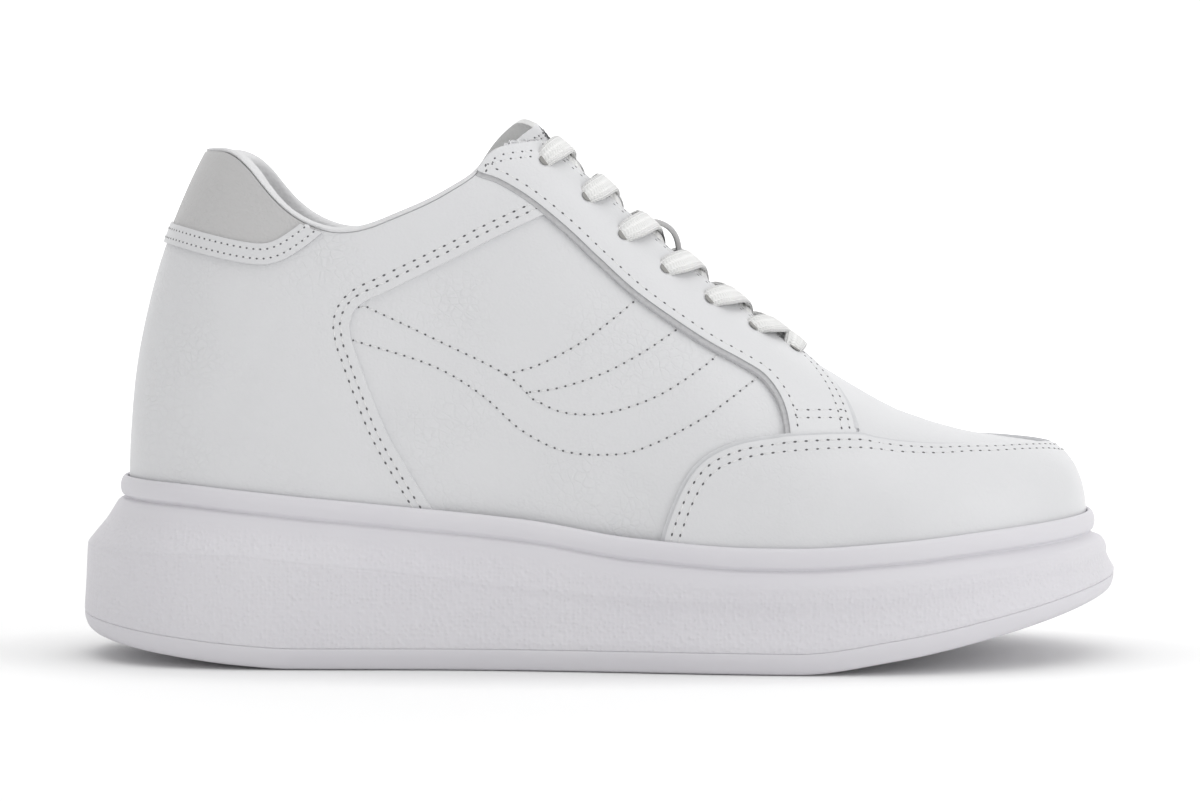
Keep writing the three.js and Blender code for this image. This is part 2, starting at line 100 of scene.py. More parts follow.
# The paper glows a little: from just outside the shoe's own shade, and more towards the far sweep.
SHADE_LENGTH, SHADE_WIDTH = 0.155, 0.062  # half sizes of the shade on the floor
glows = []
for squeeze, near, far, strength in (
    ((1 / SHADE_LENGTH, 1 / SHADE_WIDTH, 0), 0.85, 1.35, 0.2),
    ((1, 1, 1), 0.3, 1.3, 0.39),
):
    scaled = add_node(tree, "ShaderNodeVectorMath", {0: place, 1: squeeze}, operation="MULTIPLY").outputs[0]
    far_off = add_node(tree, "ShaderNodeVectorMath", {0: scaled}, operation="LENGTH").outputs["Value"]
    limits = {0: far_off, 1: near, 2: far, 3: 0.0, 4: strength}
    glows.append(add_node(tree, "ShaderNodeMapRange", limits).outputs[0])
total = add_node(tree, "ShaderNodeMath", {0: glows[0], 1: glows[1]}, operation="ADD")
tree.links.new(total.outputs[0], shader.inputs["Emission Strength"])
floor.data.materials.append(floor_paint)

bpy.context.scene.world = bpy.data.worlds.new("sky")
bpy.context.scene.world.use_nodes = True
sky = bpy.context.scene.world.node_tree.nodes["Background"]
sky.inputs["Color"].default_value = (1, 1, 1, 1)
sky.inputs["Strength"].default_value = 0.56
bpy.context.scene.view_settings.view_transform = "Standard"

for place, size, power in (((1.0, -0.5, 0.5), 0.8, 2.6), ((0.1, -0.15, 1.5), 1.8, 10.0)):
    bpy.ops.object.light_add(type="AREA", location=place)
    lamp = bpy.context.object
    lamp.data.size = size
    lamp.data.energy = power
    lamp.rotation_euler = (LIT_POINT - Vector(place)).to_track_quat("-Z", "Y").to_euler()

bpy.ops.object.camera_add(location=(0, -1.0383, 0.130))
camera = bpy.context.object
camera.rotation_euler = (SEEN_POINT - camera.location).to_track_quat("-Z", "Y").to_euler()
camera.data.lens = 108.5
camera.data.sensor_width = 36
bpy.context.scene.camera = camera


# ---------------------------------------------------------------- upper
# The lasted wall of vamp and quarters, in coated white leather. Its skin is a loft round the shoe: each
# station is a curve from the foot line to the crest of the instep. Every panel is laid on this skin.

MM = 0.001
CENTRE_Y = 1.65  # the shoe's middle line stands this far from the last's
WALL = 2.4
CUP_DEPTH = 6.7  # the wall's foot stands this far below the rim of the sole


def table(columns, rows):
    """Named columns of a table written row by row."""
    return {name: np.array([row[i] for row in rows], float) for i, name in enumerate(columns.split())}


# Back of the heel to toe tip. Both sides share a row. Millimetres, apart from the exponents flat and lean.
stations = table(
    "foot_x foot_out foot_in crest_x crest_y crest_half crest_z flat lean bulge ledge wall edge",
    [
        [-134.2, 0, 0, -101.5, 0, 0, 160, 1.0, 2.35, 0.56, 13.3, 14.2, 10],
        [-130.2, -15, 15, -99.5, 0, 10.5, 160, 1.0, 2.35, 0.56, 12.9, 13.8, 9.8],
        [-119.5, -27, 26.5, -94, 0, 19, 160, 1.0, 2.25, 0.56, 11.4, 12.5, 9],
        [-102.5, -33.6, 32.5, -85, 0, 25, 160, 1.0, 2.1, 0.58, 9.2, 10.6, 7.6],
        [-80, -36, 33.5, -72, 0, 27.5, 160, 1.05, 2.0, 0.6, 7.6, 9.3, 6.8],
        [-57, -36.8, 32.8, -55, 0, 26, 160, 1.2, 2.0, 0.64, 6.8, 8.6, 6.3],
        [-34, -38, 31.6, -37, 0.5, 17.5, 160, 1.7, 1.8, 0.68, 6.4, 8.2, 6],
        [-12, -40.5, 32, -21, 1.75, 1.75, 148.6, 3.1, 1.7, 0.74, 6.2, 8, 5.8],
        [8, -43.6, 34.6, 5, 1.5, 0, 127.5, 3.1, 1.7, 0.8, 6, 7.8, 5.6],
        [28, -47, 38.8, 27, 1.5, 0, 108.5, 2.9, 1.8, 0.86, 5.8, 7.6, 5.4],
        [48, -49.6, 43.4, 48, 1.5, 0, 92.5, 2.6, 1.9, 0.92, 5.7, 7.6, 5.2],
        [68, -50.3, 46.6, 67.5, 1.6, 0, 80, 2.3, 2.1, 0.98, 5.8, 7.8, 5.2],
        [88, -48.2, 46.3, 86, 2, 0, 69.6, 2.3, 2.3, 0.98, 6, 8, 5.2],
        [108, -41, 42, 102, 2.8, 0, 64.1, 2.5, 2.5, 0.93, 6.3, 8.4, 5],
        [124.5, -29, 32.5, 112, 3.8, 0, 62, 2.7, 2.7, 0.86, 6.8, 8.9, 4.6],
        [135.3, -13.5, 20, 117.2, 4.1, 0, 61.1, 2.8, 2.8, 0.8, 7.2, 9.2, 4.2],
        [139.1, 4, 4, 118.8, 4.1, 0, 60.9, 2.8, 2.8, 0.78, 7.3, 9.3, 4],
    ],
)
TOE = len(stations["foot_x"]) - 1  # station of the toe tip
ROUND = 2 * TOE  # stations all round

heights = table(
    "x rim shoulder ground bed",
    [
        [-135, 51.4, 32, 6.6, 72],
        [-118, 50.8, 32, 3.4, 71],
        [-100, 49.2, 31.6, 1, 69.5],
        [-85, 47.7, 30, 0, 67],
        [-60, 45.4, 27.6, 0, 61],
        [-20, 41.5, 22, 0, 49.5],
        [10, 36.8, 19, 0, 42],
        [45, 34.5, 18.2, 0, 38],
        [54, 34.5, 18.3, 0, 37.5],
        [80, 36, 20, 3.6, 37.5],
        [110, 38.9, 25, 10, 39.5],
        [139, 41.2, 31, 17.4, 41.5],
    ],
)


def spline(a, b, c, d, t):
    """Smooth curve from b to c, steered by the values before and after them."""
    return b + 0.5 * t * (c - a + t * (2 * a - 5 * b + 4 * c - d + t * (3 * (b - c) + d - a)))


def round_shoe(outer, inner, u):
    """A station column as a smooth closed curve: outer side from heel to toe, inner side back to heel."""
    loop = np.concatenate([outer, inner[-2:0:-1]])
    i = np.floor(u).astype(int)
    return spline(*(loop[(i + k) % ROUND] for k in (-1, 0, 1, 2)), u - i)


def station(name, u):
    return round_shoe(stations[name], stations[name], u)


def height(name, x):
    """A column of the heights table at x, by a cubic that never overshoots its rows."""
    xs, zs = heights["x"], heights[name]
    x = np.clip(x, xs[0], xs[-1])
    slope = np.diff(zs) / np.diff(xs)
    before, after = slope[:-1], slope[1:]
    flat = before * after <= 0
    inner = np.where(flat, 0, 2 * before * after / np.where(flat, 1, before + after))
    tangent = np.concatenate([slope[:1], inner, slope[-1:]])
    i = np.clip(np.searchsorted(xs, x, side="left") - 1, 0, len(xs) - 2)
    width = xs[i + 1] - xs[i]
    t = (x - xs[i]) / width
    s = 1 - t
    rise = width * s * t * (tangent[i] * s - tangent[i + 1] * t)
    return zs[i] * (1 + 2 * t) * s * s + zs[i + 1] * (3 - 2 * t) * t * t + rise


def lasted(u, level):
    """Point of the skin at station u, level 0 at the foot line and 1 at the crest."""
    foot_x = station("foot_x", u)
    foot_y = round_shoe(stations["foot_out"], stations["foot_in"], u)
    foot_z = height("rim", foot_x) - CUP_DEPTH
    crest, half = stations["crest_y"], stations["crest_half"]
    crest_y = round_shoe(crest - half, crest + half, u)
    angle = level * math.pi / 2
    out = np.maximum(0, np.cos(angle)) ** (2 / station("flat", u))
    up = np.sin(angle) ** (2 / station("lean", u))
    return np.stack([
        station("crest_x", u) * (1 - out) + foot_x * out,
        crest_y * (1 - out) + foot_y * out,
        foot_z * (1 - up) + station("crest_z", u) * up,
    ], -1)


def run_along(line):
    """Distance run at each point of a line."""
    return np.concatenate([[0], np.cumsum(np.linalg.norm(np.diff(line, axis=0), axis=1))])


def at_runs(at, run, rows):
    """The rows that belong to points of a line, read at other distances along it."""
    return np.stack([np.interp(at, run, rows[:, k]) for k in range(rows.shape[1])], 1)


def unit(vectors):
    return vectors / np.maximum(np.linalg.norm(vectors, axis=-1, keepdims=True), 1e-9)


# The skin is sampled once. Across a station, v is the share of the way along the curve, so panels
# that are drawn in (u, v) keep even spacing.
SKIN_U, SKIN_V = 1280, 200
LEVELS = 240
TO_CREST = 1.6  # crowds the levels towards the crest
grid_u = np.linspace(0, ROUND, SKIN_U + 1)
levels = 1 - (1 - np.linspace(0, 1, LEVELS)) ** TO_CREST
strands = lasted(grid_u[:, None], levels[None, :])
way = np.array([run_along(strand) for strand in strands])
climb = way[:, -1]  # length of each station's curve
even = np.array([np.interp(np.linspace(0, 1, SKIN_V + 1), w / w[-1], levels) for w in way])
skin_points = lasted(grid_u[:, None], even)
along = np.roll(skin_points[:-1], -1, 0) - np.roll(skin_points[:-1], 1, 0)
along = np.concatenate([along, along[:1]])
skin_normals = unit(np.cross(along, np.gradient(skin_points, axis=1)))


def sample(field, u, v):
    """Value of a field of the skin at (u, v)."""
    fu = (np.asarray(u, float) % ROUND) / ROUND * SKIN_U
    fv = np.clip(v, 0, 1) * SKIN_V
    i = np.minimum(fu.astype(int), SKIN_U - 1)
    j = np.minimum(fv.astype(int), SKIN_V - 1)
    a, b = (fu - i)[..., None], (fv - j)[..., None]
    low = field[i, j] * (1 - a) + field[i + 1, j] * a
    high = field[i, j + 1] * (1 - a) + field[i + 1, j + 1] * a
    return low * (1 - b) + high * b


def skin(u, v, lift=0.0):
    """Points that stand off the skin by some millimetres."""
    normal = unit(sample(skin_normals, u, v))
    return sample(skin_points, u, v) + normal * np.asarray(lift, float)[..., None]


def length_at(u):
    """Length of the skin's curve at a station, from the foot line to the crest."""
    return np.interp(np.asarray(u) % ROUND, grid_u, climb)


def through(points, steps):
    """A smooth line through points, or a smooth sheet through rows of points."""
    p = np.concatenate([[2 * points[0] - points[1]], points, [2 * points[-1] - points[-2]]])
    fine = []
    for a, b, c, d in zip(p[:-3], p[1:-2], p[2:-1], p[3:]):
        fine += [spline(a, b, c, d, t) for t in np.linspace(0, 1, steps, endpoint=False)]
    return np.array(fine + [points[-1]])


def curve_through(points, step=0.5):
    """A smooth line through a few points, in even steps."""
    line = through(np.array(points, float), 24)
    run = run_along(line)
    return at_runs(np.linspace(0, run[-1], max(2, int(round(run[-1] / step)) + 1)), run, line)


SIDE_VIEW, TOP_VIEW = [0, 2], [0, 1]  # the coordinates that each view shows
U_STEP, V_STEP = 0.02, 0.01  # for slopes of the skin
U_LEAP, V_LEAP = 0.1, 0.05


def locate(points, axes, side, low_v=0.0):
    """(u, v) of the places on one side of the skin that show at these points in side view or from above."""
    near = slice(0, SKIN_U // 2 + 1) if side < 0 else slice(SKIN_U // 2, SKIN_U + 1)
    first_v = int(low_v * SKIN_V)
    patch = skin_points[near, first_v:][:, :, axes]
    found = []
    for goal in points:
        gap = ((patch - goal) ** 2).sum(-1)
        i, j = np.unravel_index(gap.argmin(), gap.shape)
        found.append(((i + near.start) * ROUND / SKIN_U, (j + first_v) / SKIN_V))
    u, v = np.array(found).T
    limits = (0, TOE) if side < 0 else (TOE, ROUND)
    # From the nearest sample on, a few Newton steps close the gap.
    for _ in range(6):
        here = sample(skin_points, u, v)[:, axes]
        du = (sample(skin_points, u + U_STEP, v)[:, axes] - here) / U_STEP
        dv = (sample(skin_points, u, v - V_STEP)[:, axes] - here) / -V_STEP
        miss = points - here
        det = du[:, 0] * dv[:, 1] - du[:, 1] * dv[:, 0]
        det = np.where(np.abs(det) < 1e-3, np.inf, det)
        step_u = (miss[:, 0] * dv[:, 1] - miss[:, 1] * dv[:, 0]) / det
        step_v = (du[:, 0] * miss[:, 1] - du[:, 1] * miss[:, 0]) / det
        u = np.clip(u + np.clip(step_u, -U_LEAP, U_LEAP), *limits)
        v = np.clip(v + np.clip(step_v, -V_LEAP, V_LEAP), 0, 1)
    return np.stack([u, v], 1)


def even_line(uv, count=None):
    """The same line on the skin, in even steps of its real length, half a millimetre unless counted."""
    run = run_along(sample(skin_points, uv[:, 0], uv[:, 1]))
    count = count or max(2, int(round(run[-1] / 0.5)) + 1)
    return at_runs(np.linspace(0, run[-1], count), run, uv)


def from_side(points, side):
    return even_line(locate(curve_through(points), SIDE_VIEW, side))


def beside(uv, distance):
    """The line moved over the skin by a distance, to its left when seen from outside."""
    u, v = uv[:, 0], uv[:, 1]
    left = unit(np.cross(sample(skin_normals, u, v), np.gradient(sample(skin_points, u, v), axis=0)))
    du = (sample(skin_points, u + U_STEP, v) - sample(skin_points, u - U_STEP, v)) / (2 * U_STEP)
    high, low = np.minimum(v + V_STEP, 1), np.maximum(v - V_STEP, 0)
    dv = (sample(skin_points, u, high) - sample(skin_points, u, low)) / (high - low)[:, None]
    uu, vv, cross = (du * du).sum(1), (dv * dv).sum(1), (du * dv).sum(1)
    a, b = (left * du).sum(1), (left * dv).sum(1)
    det = uu * vv - cross * cross
    move_u, move_v = (a * vv - b * cross) / det, (b * uu - a * cross) / det
    return np.stack([u + distance * move_u, v + distance * move_v], 1)


def laid_sheet(name, points):
    """A sheet of quads through rows of points in millimetres, from a grid laid out flat."""
    rows, columns = points.shape[:2]
    bpy.ops.object.select_all(action="DESELECT")
    bpy.ops.mesh.primitive_grid_add(x_subdivisions=columns - 1, y_subdivisions=rows - 1, size=1)
    sheet = bpy.context.object
    sheet.name = name
    sheet.data.name = name
    place = (points.reshape(-1, 3) + (0, CENTRE_Y, 0)) * MM
    sheet.data.vertices.foreach_set("co", place.astype(np.float32).ravel())
    sheet.data.update()
    return sheet


def in_edit_mode(piece, *steps):
    bpy.context.view_layer.objects.active = piece
    bpy.ops.object.mode_set(mode="EDIT")
    bpy.ops.mesh.select_all(action="SELECT")
    for step in steps:
        step()
    bpy.ops.object.mode_set(mode="OBJECT")


def two_finishes(piece):
    """Slots for the face and the cut edge, so that a wall's rim can take the second one."""
    while len(piece.data.materials) < 2:
        piece.data.materials.append(None)


AXIS_HEIGHT = 0.045  # metres: a line through the middle of the shoe


def face_out(piece):
    """Turns a sheet over if its faces look towards the middle of the shoe."""
    flow = 0
    for face in piece.data.polygons:
        middle = Vector((face.center.x * 0.8, 0, AXIS_HEIGHT))
        flow += face.normal.dot(face.center - middle)
    if flow < 0:
        in_edit_mode(piece, bpy.ops.mesh.flip_normals)


def close_seams(piece, distance=0.00002):
    in_edit_mode(piece, lambda: bpy.ops.mesh.remove_doubles(threshold=distance))


def apply(piece, kind, **settings):
    bpy.context.view_layer.objects.active = piece
    tool = piece.modifiers.new(kind.lower(), kind)
    for key, value in settings.items():
        setattr(tool, key, value)
    bpy.ops.object.modifier_apply(modifier=tool.name)


def smooth(piece, angle=40):
    bpy.ops.object.select_all(action="DESELECT")
    piece.select_set(True)
    bpy.context.view_layer.objects.active = piece
    bpy.ops.object.shade_smooth_by_angle(angle=math.radians(angle))


SHARP = math.radians(50)


def round_edges(piece, width, segments=2):
    apply(piece, "BEVEL", width=width * MM, segments=segments, limit_method="ANGLE", angle_limit=SHARP)


def leather_piece(sheet, thickness, round_edge=0.35, inward=False):
    """Gives a laid sheet its thickness and a softened cut edge. The edge takes the second material."""
    face_out(sheet)
    two_finishes(sheet)
    apply(sheet, "SOLIDIFY", thickness=thickness * MM, offset=-1 if inward else 1,
          use_even_offset=False, material_offset_rim=1, use_quality_normals=True)
    if round_edge:
        round_edges(sheet, round_edge)
    smooth(sheet)
    return sheet


# Side view of the collar and the top of the eyestays, and half width of the throat from above.
top_line = curve_through([
    [-125, 144.2], [-116, 144.2], [-106, 144.6], [-101.5, 143.4], [-97.2, 139.7], [-93.4, 135],
    [-89.6, 130.7], [-85, 126.8], [-79, 123.7], [-72.5, 122.3], [-65, 123.3], [-57, 126.4], [-48, 130.3],
    [-41, 134.2], [-35, 138.2], [-29.5, 144.4], [-19, 145.6], [-10, 146],
])
throat_half = curve_through([
    [-40, 23], [-30, 17.5], [-20, 14.4], [-10, 13.2], [3, 12.6], [18, 12], [33, 11.2], [46, 10], [51.5, 7.6],
    [54.8, 4.4], [56, 0],
])
CREST_Y = 1.5
ROLL = 1.7  # height of the rolled collar above the seam
THROAT_TOP_X = -14  # behind this the wall ends at the collar
THROAT_LOW_Z = 60


def first_crossing(field):
    """v at which each station's curve first leaves the region where field is positive, or 1."""
    out = field <= 0
    hit = out.any(1)
    k = np.maximum(out.argmax(1), 1)
    rows = np.arange(len(k))
    a, b = field[rows, k - 1], field[rows, k]
    v = (k - 1 + a / np.where(a == b, 1, a - b)) / SKIN_V
    return np.where(hit, v, 1.0)


def smooth_round(values, weights):
    """One value per station, smoothed all round the shoe."""
    reach = len(weights) // 2
    looped = np.concatenate([values[-reach - 1:-1], values, values[1:reach + 1]])
    return np.convolve(looped, weights / weights.sum(), "valid")


# The wall's top edge as v per station: the seam of the collar, or the edge of the throat.
skin_x, skin_y, skin_z = np.moveaxis(skin_points, -1, 0)
under_collar = np.interp(skin_x, *top_line.T) - skin_z
collar_v = first_crossing(np.where(skin_x < THROAT_TOP_X, under_collar, 1))
half = np.interp(skin_x, *throat_half.T, left=-1, right=-1)
throat_v = first_crossing(np.where(skin_z > THROAT_LOW_Z, np.abs(skin_y - CREST_Y) - half, 1))
edge_v = smooth_round(np.minimum(collar_v, throat_v), np.hanning(13)[1:-1])
at_collar = smooth_round((collar_v < throat_v) * 1.0, np.ones(25))
wall_v = edge_v - ROLL * at_collar / climb


def wall_top(u, drop=0):
    """v at some millimetres below the wall's top edge."""
    return np.interp(u % ROUND, grid_u, wall_v) - drop / length_at(u)


def panel_top(u, drop):
    """The same below the highest line that a panel may reach."""
    return np.interp(u % ROUND, grid_u, edge_v) - drop / length_at(u)


def even_stations(pairs, level=0.35):
    """Stations spaced evenly round the shoe, in pairs that face each other across the crest."""
    outer = grid_u[:SKIN_U // 2 + 1]
    run = run_along(sample(skin_points, outer, np.full(len(outer), level)))
    half = np.interp(np.linspace(0, run[-1], pairs + 1), run, outer)
    return np.concatenate([half, ROUND - half[-2::-1]])


# Soft dents and ridges of the leather: place and half length in side view, turn in degrees, depth, width.
CREASES = table("x z reach turn depth wide", [
    [-100, 78, 20, 62, 0.30, 5],
    [-92, 66, 16, 12, 0.22, 5],
    [-60, 72, 14, 75, 0.20, 4],
    [-36, 62, 16, -18, 0.25, 5],
    [-14, 52, 16, 10, -0.22, 6],
    [8, 50, 12, -35, 0.22, 5],
    [80, 66, 9, 80, 0.25, 4.5],
    [90, 62, 8, 82, -0.2, 4.5],
])


def crease_depth(p):
    depth = np.zeros(p.shape[:-1])
    for x, z, reach, turn, deep, wide in zip(*CREASES.values()):
        c, s = math.cos(math.radians(turn)), math.sin(math.radians(turn))
        run = (p[..., 0] - x) * c + (p[..., 2] - z) * s
        off = (p[..., 2] - z) * c - (p[..., 0] - x) * s
        depth += deep * np.exp(-((run / reach) ** 4)) * np.exp(-((off / wide) ** 2))
    return depth


FADE = 4  # the unevenness fades out this close to the crest


def leather_lift(u, v):
    """Unevenness of the lasted leather: the creases and a slow swell."""
    p = sample(skin_points, u, v)
    x, y, z = np.moveaxis(p, -1, 0)
    swell = np.sin(x / 9 + z / 13) * np.sin(z / 8 - x / 17 + y / 11)
    return (0.10 * swell - crease_depth(p)) * np.clip((1 - v) * length_at(u) / FADE, 0, 1)


def math_node(tree, operation, *values):
    return add_node(tree, "ShaderNodeMath", dict(enumerate(values)), operation=operation).outputs[0]


def times(tree, a, b):
    return math_node(tree, "MULTIPLY", a, b)


def plus(tree, a, b):
    return math_node(tree, "ADD", a, b)


def spread(tree, value, low, high, to_low=0.0, to_high=1.0):
    limits = {0: value, 1: low, 2: high, 3: to_low, 4: to_high}
    return add_node(tree, "ShaderNodeMapRange", limits).outputs[0]


def object_place(tree):
    return add_node(tree, "ShaderNodeTexCoord").outputs["Object"]


def noise(tree, place, scale, detail=3.0, output="Fac"):
    values = {"Vector": place, "Scale": scale, "Detail": detail}
    return add_node(tree, "ShaderNodeTexNoise", values).outputs[output]


def cells(tree, place, feature, scale, **values):
    """A Voronoi pattern: distance from a cell's middle, or from its border."""
    values = {"Vector": place, "Scale": scale, **values}
    return add_node(tree, "ShaderNodeTexVoronoi", values, feature=feature).outputs["Distance"]


# Finish of coated leather: fine pores, small branching wrinkles and slow changes of tone. The wrinkle lines
# are also painted darker: painted shade in the creases.
leather_finish = bpy.data.node_groups.new("leather_finish", "ShaderNodeTree")
for way_in, names in (("INPUT", ("Wrinkle", "Pore")), ("OUTPUT", ("Height", "ToneAndCreaseShade", "Gloss"))):
    for socket_name in names:
        leather_finish.interface.new_socket(socket_name, in_out=way_in, socket_type="NodeSocketFloat")
tree = leather_finish
group_in = add_node(tree, "NodeGroupInput")
group_out = add_node(tree, "NodeGroupOutput")
place = object_place(tree)
warp = noise(tree, place, 90.0, 2.0, "Color")
bent = {0: warp, 1: (0.006, 0.006, 0.006), 2: place}
bent = add_node(tree, "ShaderNodeVectorMath", bent, operation="MULTIPLY_ADD").outputs[0]
pores = cells(tree, place, "SMOOTH_F1", 1350.0)
borders = cells(tree, bent, "DISTANCE_TO_EDGE", 420.0)
where = spread(tree, noise(tree, place, 38), 0.42, 0.75)
fold = times(tree, spread(tree, borders, 0, 0.16, -1, 0), where)
slow = noise(tree, place, 55, 4)
grain = times(tree, pores, group_in.outputs["Pore"])
folds = times(tree, fold, group_in.outputs["Wrinkle"])
relief = plus(tree, grain, folds)
relief = plus(tree, relief, times(tree, slow, 1.6))
tree.links.new(relief, group_out.inputs["Height"])
drift = spread(tree, noise(tree, place, 18), 0.35, 0.7, 0, 0.3)
# Random drift of tone, plus painted shade that darkens the wrinkle lines.
tone_and_crease_shade = plus(tree, times(tree, folds, -0.35), drift)
tree.links.new(tone_and_crease_shade, group_out.inputs["ToneAndCreaseShade"])
tree.links.new(spread(tree, slow, 0.3, 0.7, -0.05, 0.05), group_out.inputs["Gloss"])


def blend_colour(tree, shader, mask, first, second):
    values = {0: mask, 6: (*first, 1), 7: (*second, 1)}
    mix = add_node(tree, "ShaderNodeMix", values, data_type="RGBA")
    tree.links.new(mix.outputs[2], shader.inputs["Base Color"])


def bump(tree, shader, height_socket, distance):
    node = add_node(tree, "ShaderNodeBump", {"Height": height_socket, "Distance": distance})
    tree.links.new(node.outputs[0], shader.inputs["Normal"])


def mottled(name, roughness, scale, detail, first, second):
    """A material whose colour drifts between two tones."""
    material, tree, shader = paint(name, first, roughness)
    place = object_place(tree)
    blend_colour(tree, shader, noise(tree, place, scale, detail), first, second)
    return material, tree, shader, place


def leather(name, colour, shade, roughness, wrinkle, pore, deep=0.00012):
    material, tree, shader = paint(name, colour, roughness)
    values = {"Wrinkle": wrinkle, "Pore": pore}
    finish = add_node(tree, "ShaderNodeGroup", values, node_tree=leather_finish)
    # The tone carries painted shade in the wrinkle lines as well as the random drift.
    blend_colour(tree, shader, finish.outputs["ToneAndCreaseShade"], colour, shade)
    tree.links.new(plus(tree, finish.outputs["Gloss"], roughness), shader.inputs["Roughness"])
    bump(tree, shader, finish.outputs["Height"], deep)
    return material


WHITE = (0.735, 0.738, 0.75)
WHITE_SHADE = (0.67, 0.67, 0.687)
smooth_leather = leather("smooth_leather", WHITE, WHITE_SHADE, 0.42, 0.3, 0.4)
quarter_leather = leather("quarter_leather", WHITE, WHITE_SHADE, 0.45, 0.8, 0.5)
# Grey of bare cut edges, partly painted shade: on the eyestays' edges and the strip behind them it stands for
# the shade under the raised edge.
cut_edge_and_shade = mottled("cut_edge_and_shade", 0.8, 900, 2, (0.42, 0.42, 0.43), (0.60, 0.60, 0.61))[0]
foam_edge = mottled("foam_edge", 0.85, 700, 2, (0.62, 0.625, 0.64), (0.70, 0.705, 0.72))[0]


def dress(piece, finish, slot, *stands_for):
    """Gives a piece its material, or one for the face and one for the rest, and fixes it to the shoe."""
    two_finishes(piece)
    for index, material in enumerate(finish if isinstance(finish, tuple) else (finish, finish)):
        piece.data.materials[index] = material
    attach(piece, "root")
    if stands_for:
        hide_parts(*stands_for)
    return piece


u = even_stations(210)
v = np.linspace(0, 1, 66)[:, None] * wall_top(u)
u = np.broadcast_to(u, v.shape)
upper = laid_sheet("upper_wall", skin(u, v, leather_lift(u, v)))
close_seams(upper)
leather_piece(upper, WALL, round_edge=0, inward=True)
dress(upper, (quarter_leather, cut_edge_and_shade), "white_leather", "upper")


# ---------------------------------------------------------------- collar lining
# A foam roll in soft leather round the ankle opening, turned over the wall's top edge and sewn down
# outside. Inside, the same sheet runs to the footbed as the lining.

LINING = 0.48
roll_shape = np.array([  # section of the roll: height above the seam and lift off the skin
    [-0.6, -0.2], [0.0, 0.15], [0.25, 0.75], [0.8, 1.25], [1.6, 1.5], [2.5, 1.2], [3.1, 0.5],
    [3.5, -0.6], [3.6, -1.8], [3.4, -3.1], [2.7, -4.4], [1.4, -5.4], [-0.5, -6.0], [-3.5, -6.2],
    [-8, -5.9], [-14, -5.0], [-21, -3.9], [-28, -3.35],
])
plain_shape = np.array([  # the same where the edge runs on along the throat, without a roll
    [-0.9, -1.2], [-0.6, -1.0], [-0.3, -0.9], [0.0, -0.9], [0.2, -1.1], [0.25, -1.5], [0.2, -1.9],
    [0.0, -2.3], [-0.3, -2.7], [-0.7, -3.0], [-1.3, -3.2], [-2, -3.25], [-3, -3.25], [-5, -3.25],
    [-9, -3.25], [-14, -3.25], [-21, -3.25], [-28, -3.25],
])
ROLL_DRAWN = 3.4  # roll_shape is drawn for a roll this high
FOOT_GAP = 9.0  # the lining stops this far above the foot line, behind the insole
u = even_stations(170)
soft = np.interp(u, grid_u, at_collar)[None, :]
roll_rise, roll_lift = roll_shape[:, :1], roll_shape[:, 1:]
plain_rise, plain_lift = plain_shape[:, :1], plain_shape[:, 1:]
rise = np.where(roll_rise > 0, roll_rise * ROLL / ROLL_DRAWN, roll_rise) * soft + plain_rise * (1 - soft)
lift = roll_lift * soft + plain_lift * (1 - soft)
v = wall_top(u) + rise / length_at(u)
down = np.linspace(0, 1, 40)[1:, None]
v = np.concatenate([v, v[-1:] * (1 - down) + np.minimum(FOOT_GAP / length_at(u), v[-1:]) * down])
lift = np.concatenate([lift, lift[-1:] + 0 * down])
collar = laid_sheet("collar_lining", skin(np.broadcast_to(u, v.shape), v, lift))
close_seams(collar)
apply(collar, "SOLIDIFY", thickness=LINING * MM, offset=-1)
smooth(collar)
lining, tree, shader, place = mottled("lining", 0.75, 60, 3, (0.78, 0.78, 0.785), (0.72, 0.72, 0.73))
bump(tree, shader, cells(tree, place, "F1", 900.0), 0.00015)
dress(collar, lining, "lining")


# ---------------------------------------------------------------- rear quarter
# One large panel of grained white leather round the heel, cut with a deep notch in each side. Like all the
# overlays it is a cut sheet laid on the wall. A double row of stitches holds its front edge.

OVERLAY = 1.4
QUARTER = 1.1
EYESTAY = 1.8
GAP = 0.02  # a hair's breadth above the wall
HIDDEN = 0.8  # width of a backing strip that lies under its panel
PITCH = 3.1  # from one stitch of a double row to the next
stitch_rows = []  # lines on the skin, with their pitch and their height above the wall


def sew(line, lift, pitch=PITCH):
    """Notes a row of stitches, for the stitching below."""
    stitch_rows.append((line, pitch, lift))


def between_lines(first, second, across):
    """Grid of (u, v) between two lines, with even steps along both."""
    count = max(len(first), len(second))
    t = np.linspace(0, 1, across)[:, None, None]
    return even_line(first, count)[None] * (1 - t) + even_line(second, count)[None] * t


def soften(line, times):
    for _ in range(times):
        line[1:-1] = (line[:-2] + 2 * line[1:-1] + line[2:]) / 4


def ease(x, low, high):
    t = np.clip((x - low) / (high - low), 0, 1)
    return t * t * (3 - 2 * t)


def panel(name, uv, thickness, lift, round_edge=0.4):
    """A leather panel on the grid uv, trimmed to the wall's top edge."""
    u = uv[..., 0]
    v = np.minimum(uv[..., 1], panel_top(u, 0.3))
    sheet = laid_sheet(name, skin(u, v, leather_lift(u, v) + lift))
    close_seams(sheet, 0.000002)
    return leather_piece(sheet, thickness, round_edge)


def backing(name, edge, inward, width, thickness, material):
    """Lining under a panel: a strip that shows past its edge. inward is the sign that leads under it."""
    grid = between_lines(beside(edge, inward * HIDDEN), beside(edge, -inward * width), 6)
    strip = panel(name, grid, thickness, GAP, 0.2)
    return dress(strip, material, "white_leather")


def mirrored_side(uv, side):
    return uv if side < 0 else np.stack([ROUND - uv[..., 0], uv[..., 1]], -1)


def join(parts):
    bpy.ops.object.select_all(action="DESELECT")
    for part in parts:
        part.select_set(True)
    bpy.context.view_layer.objects.active = parts[0]
    bpy.ops.object.join()
    return parts[0]


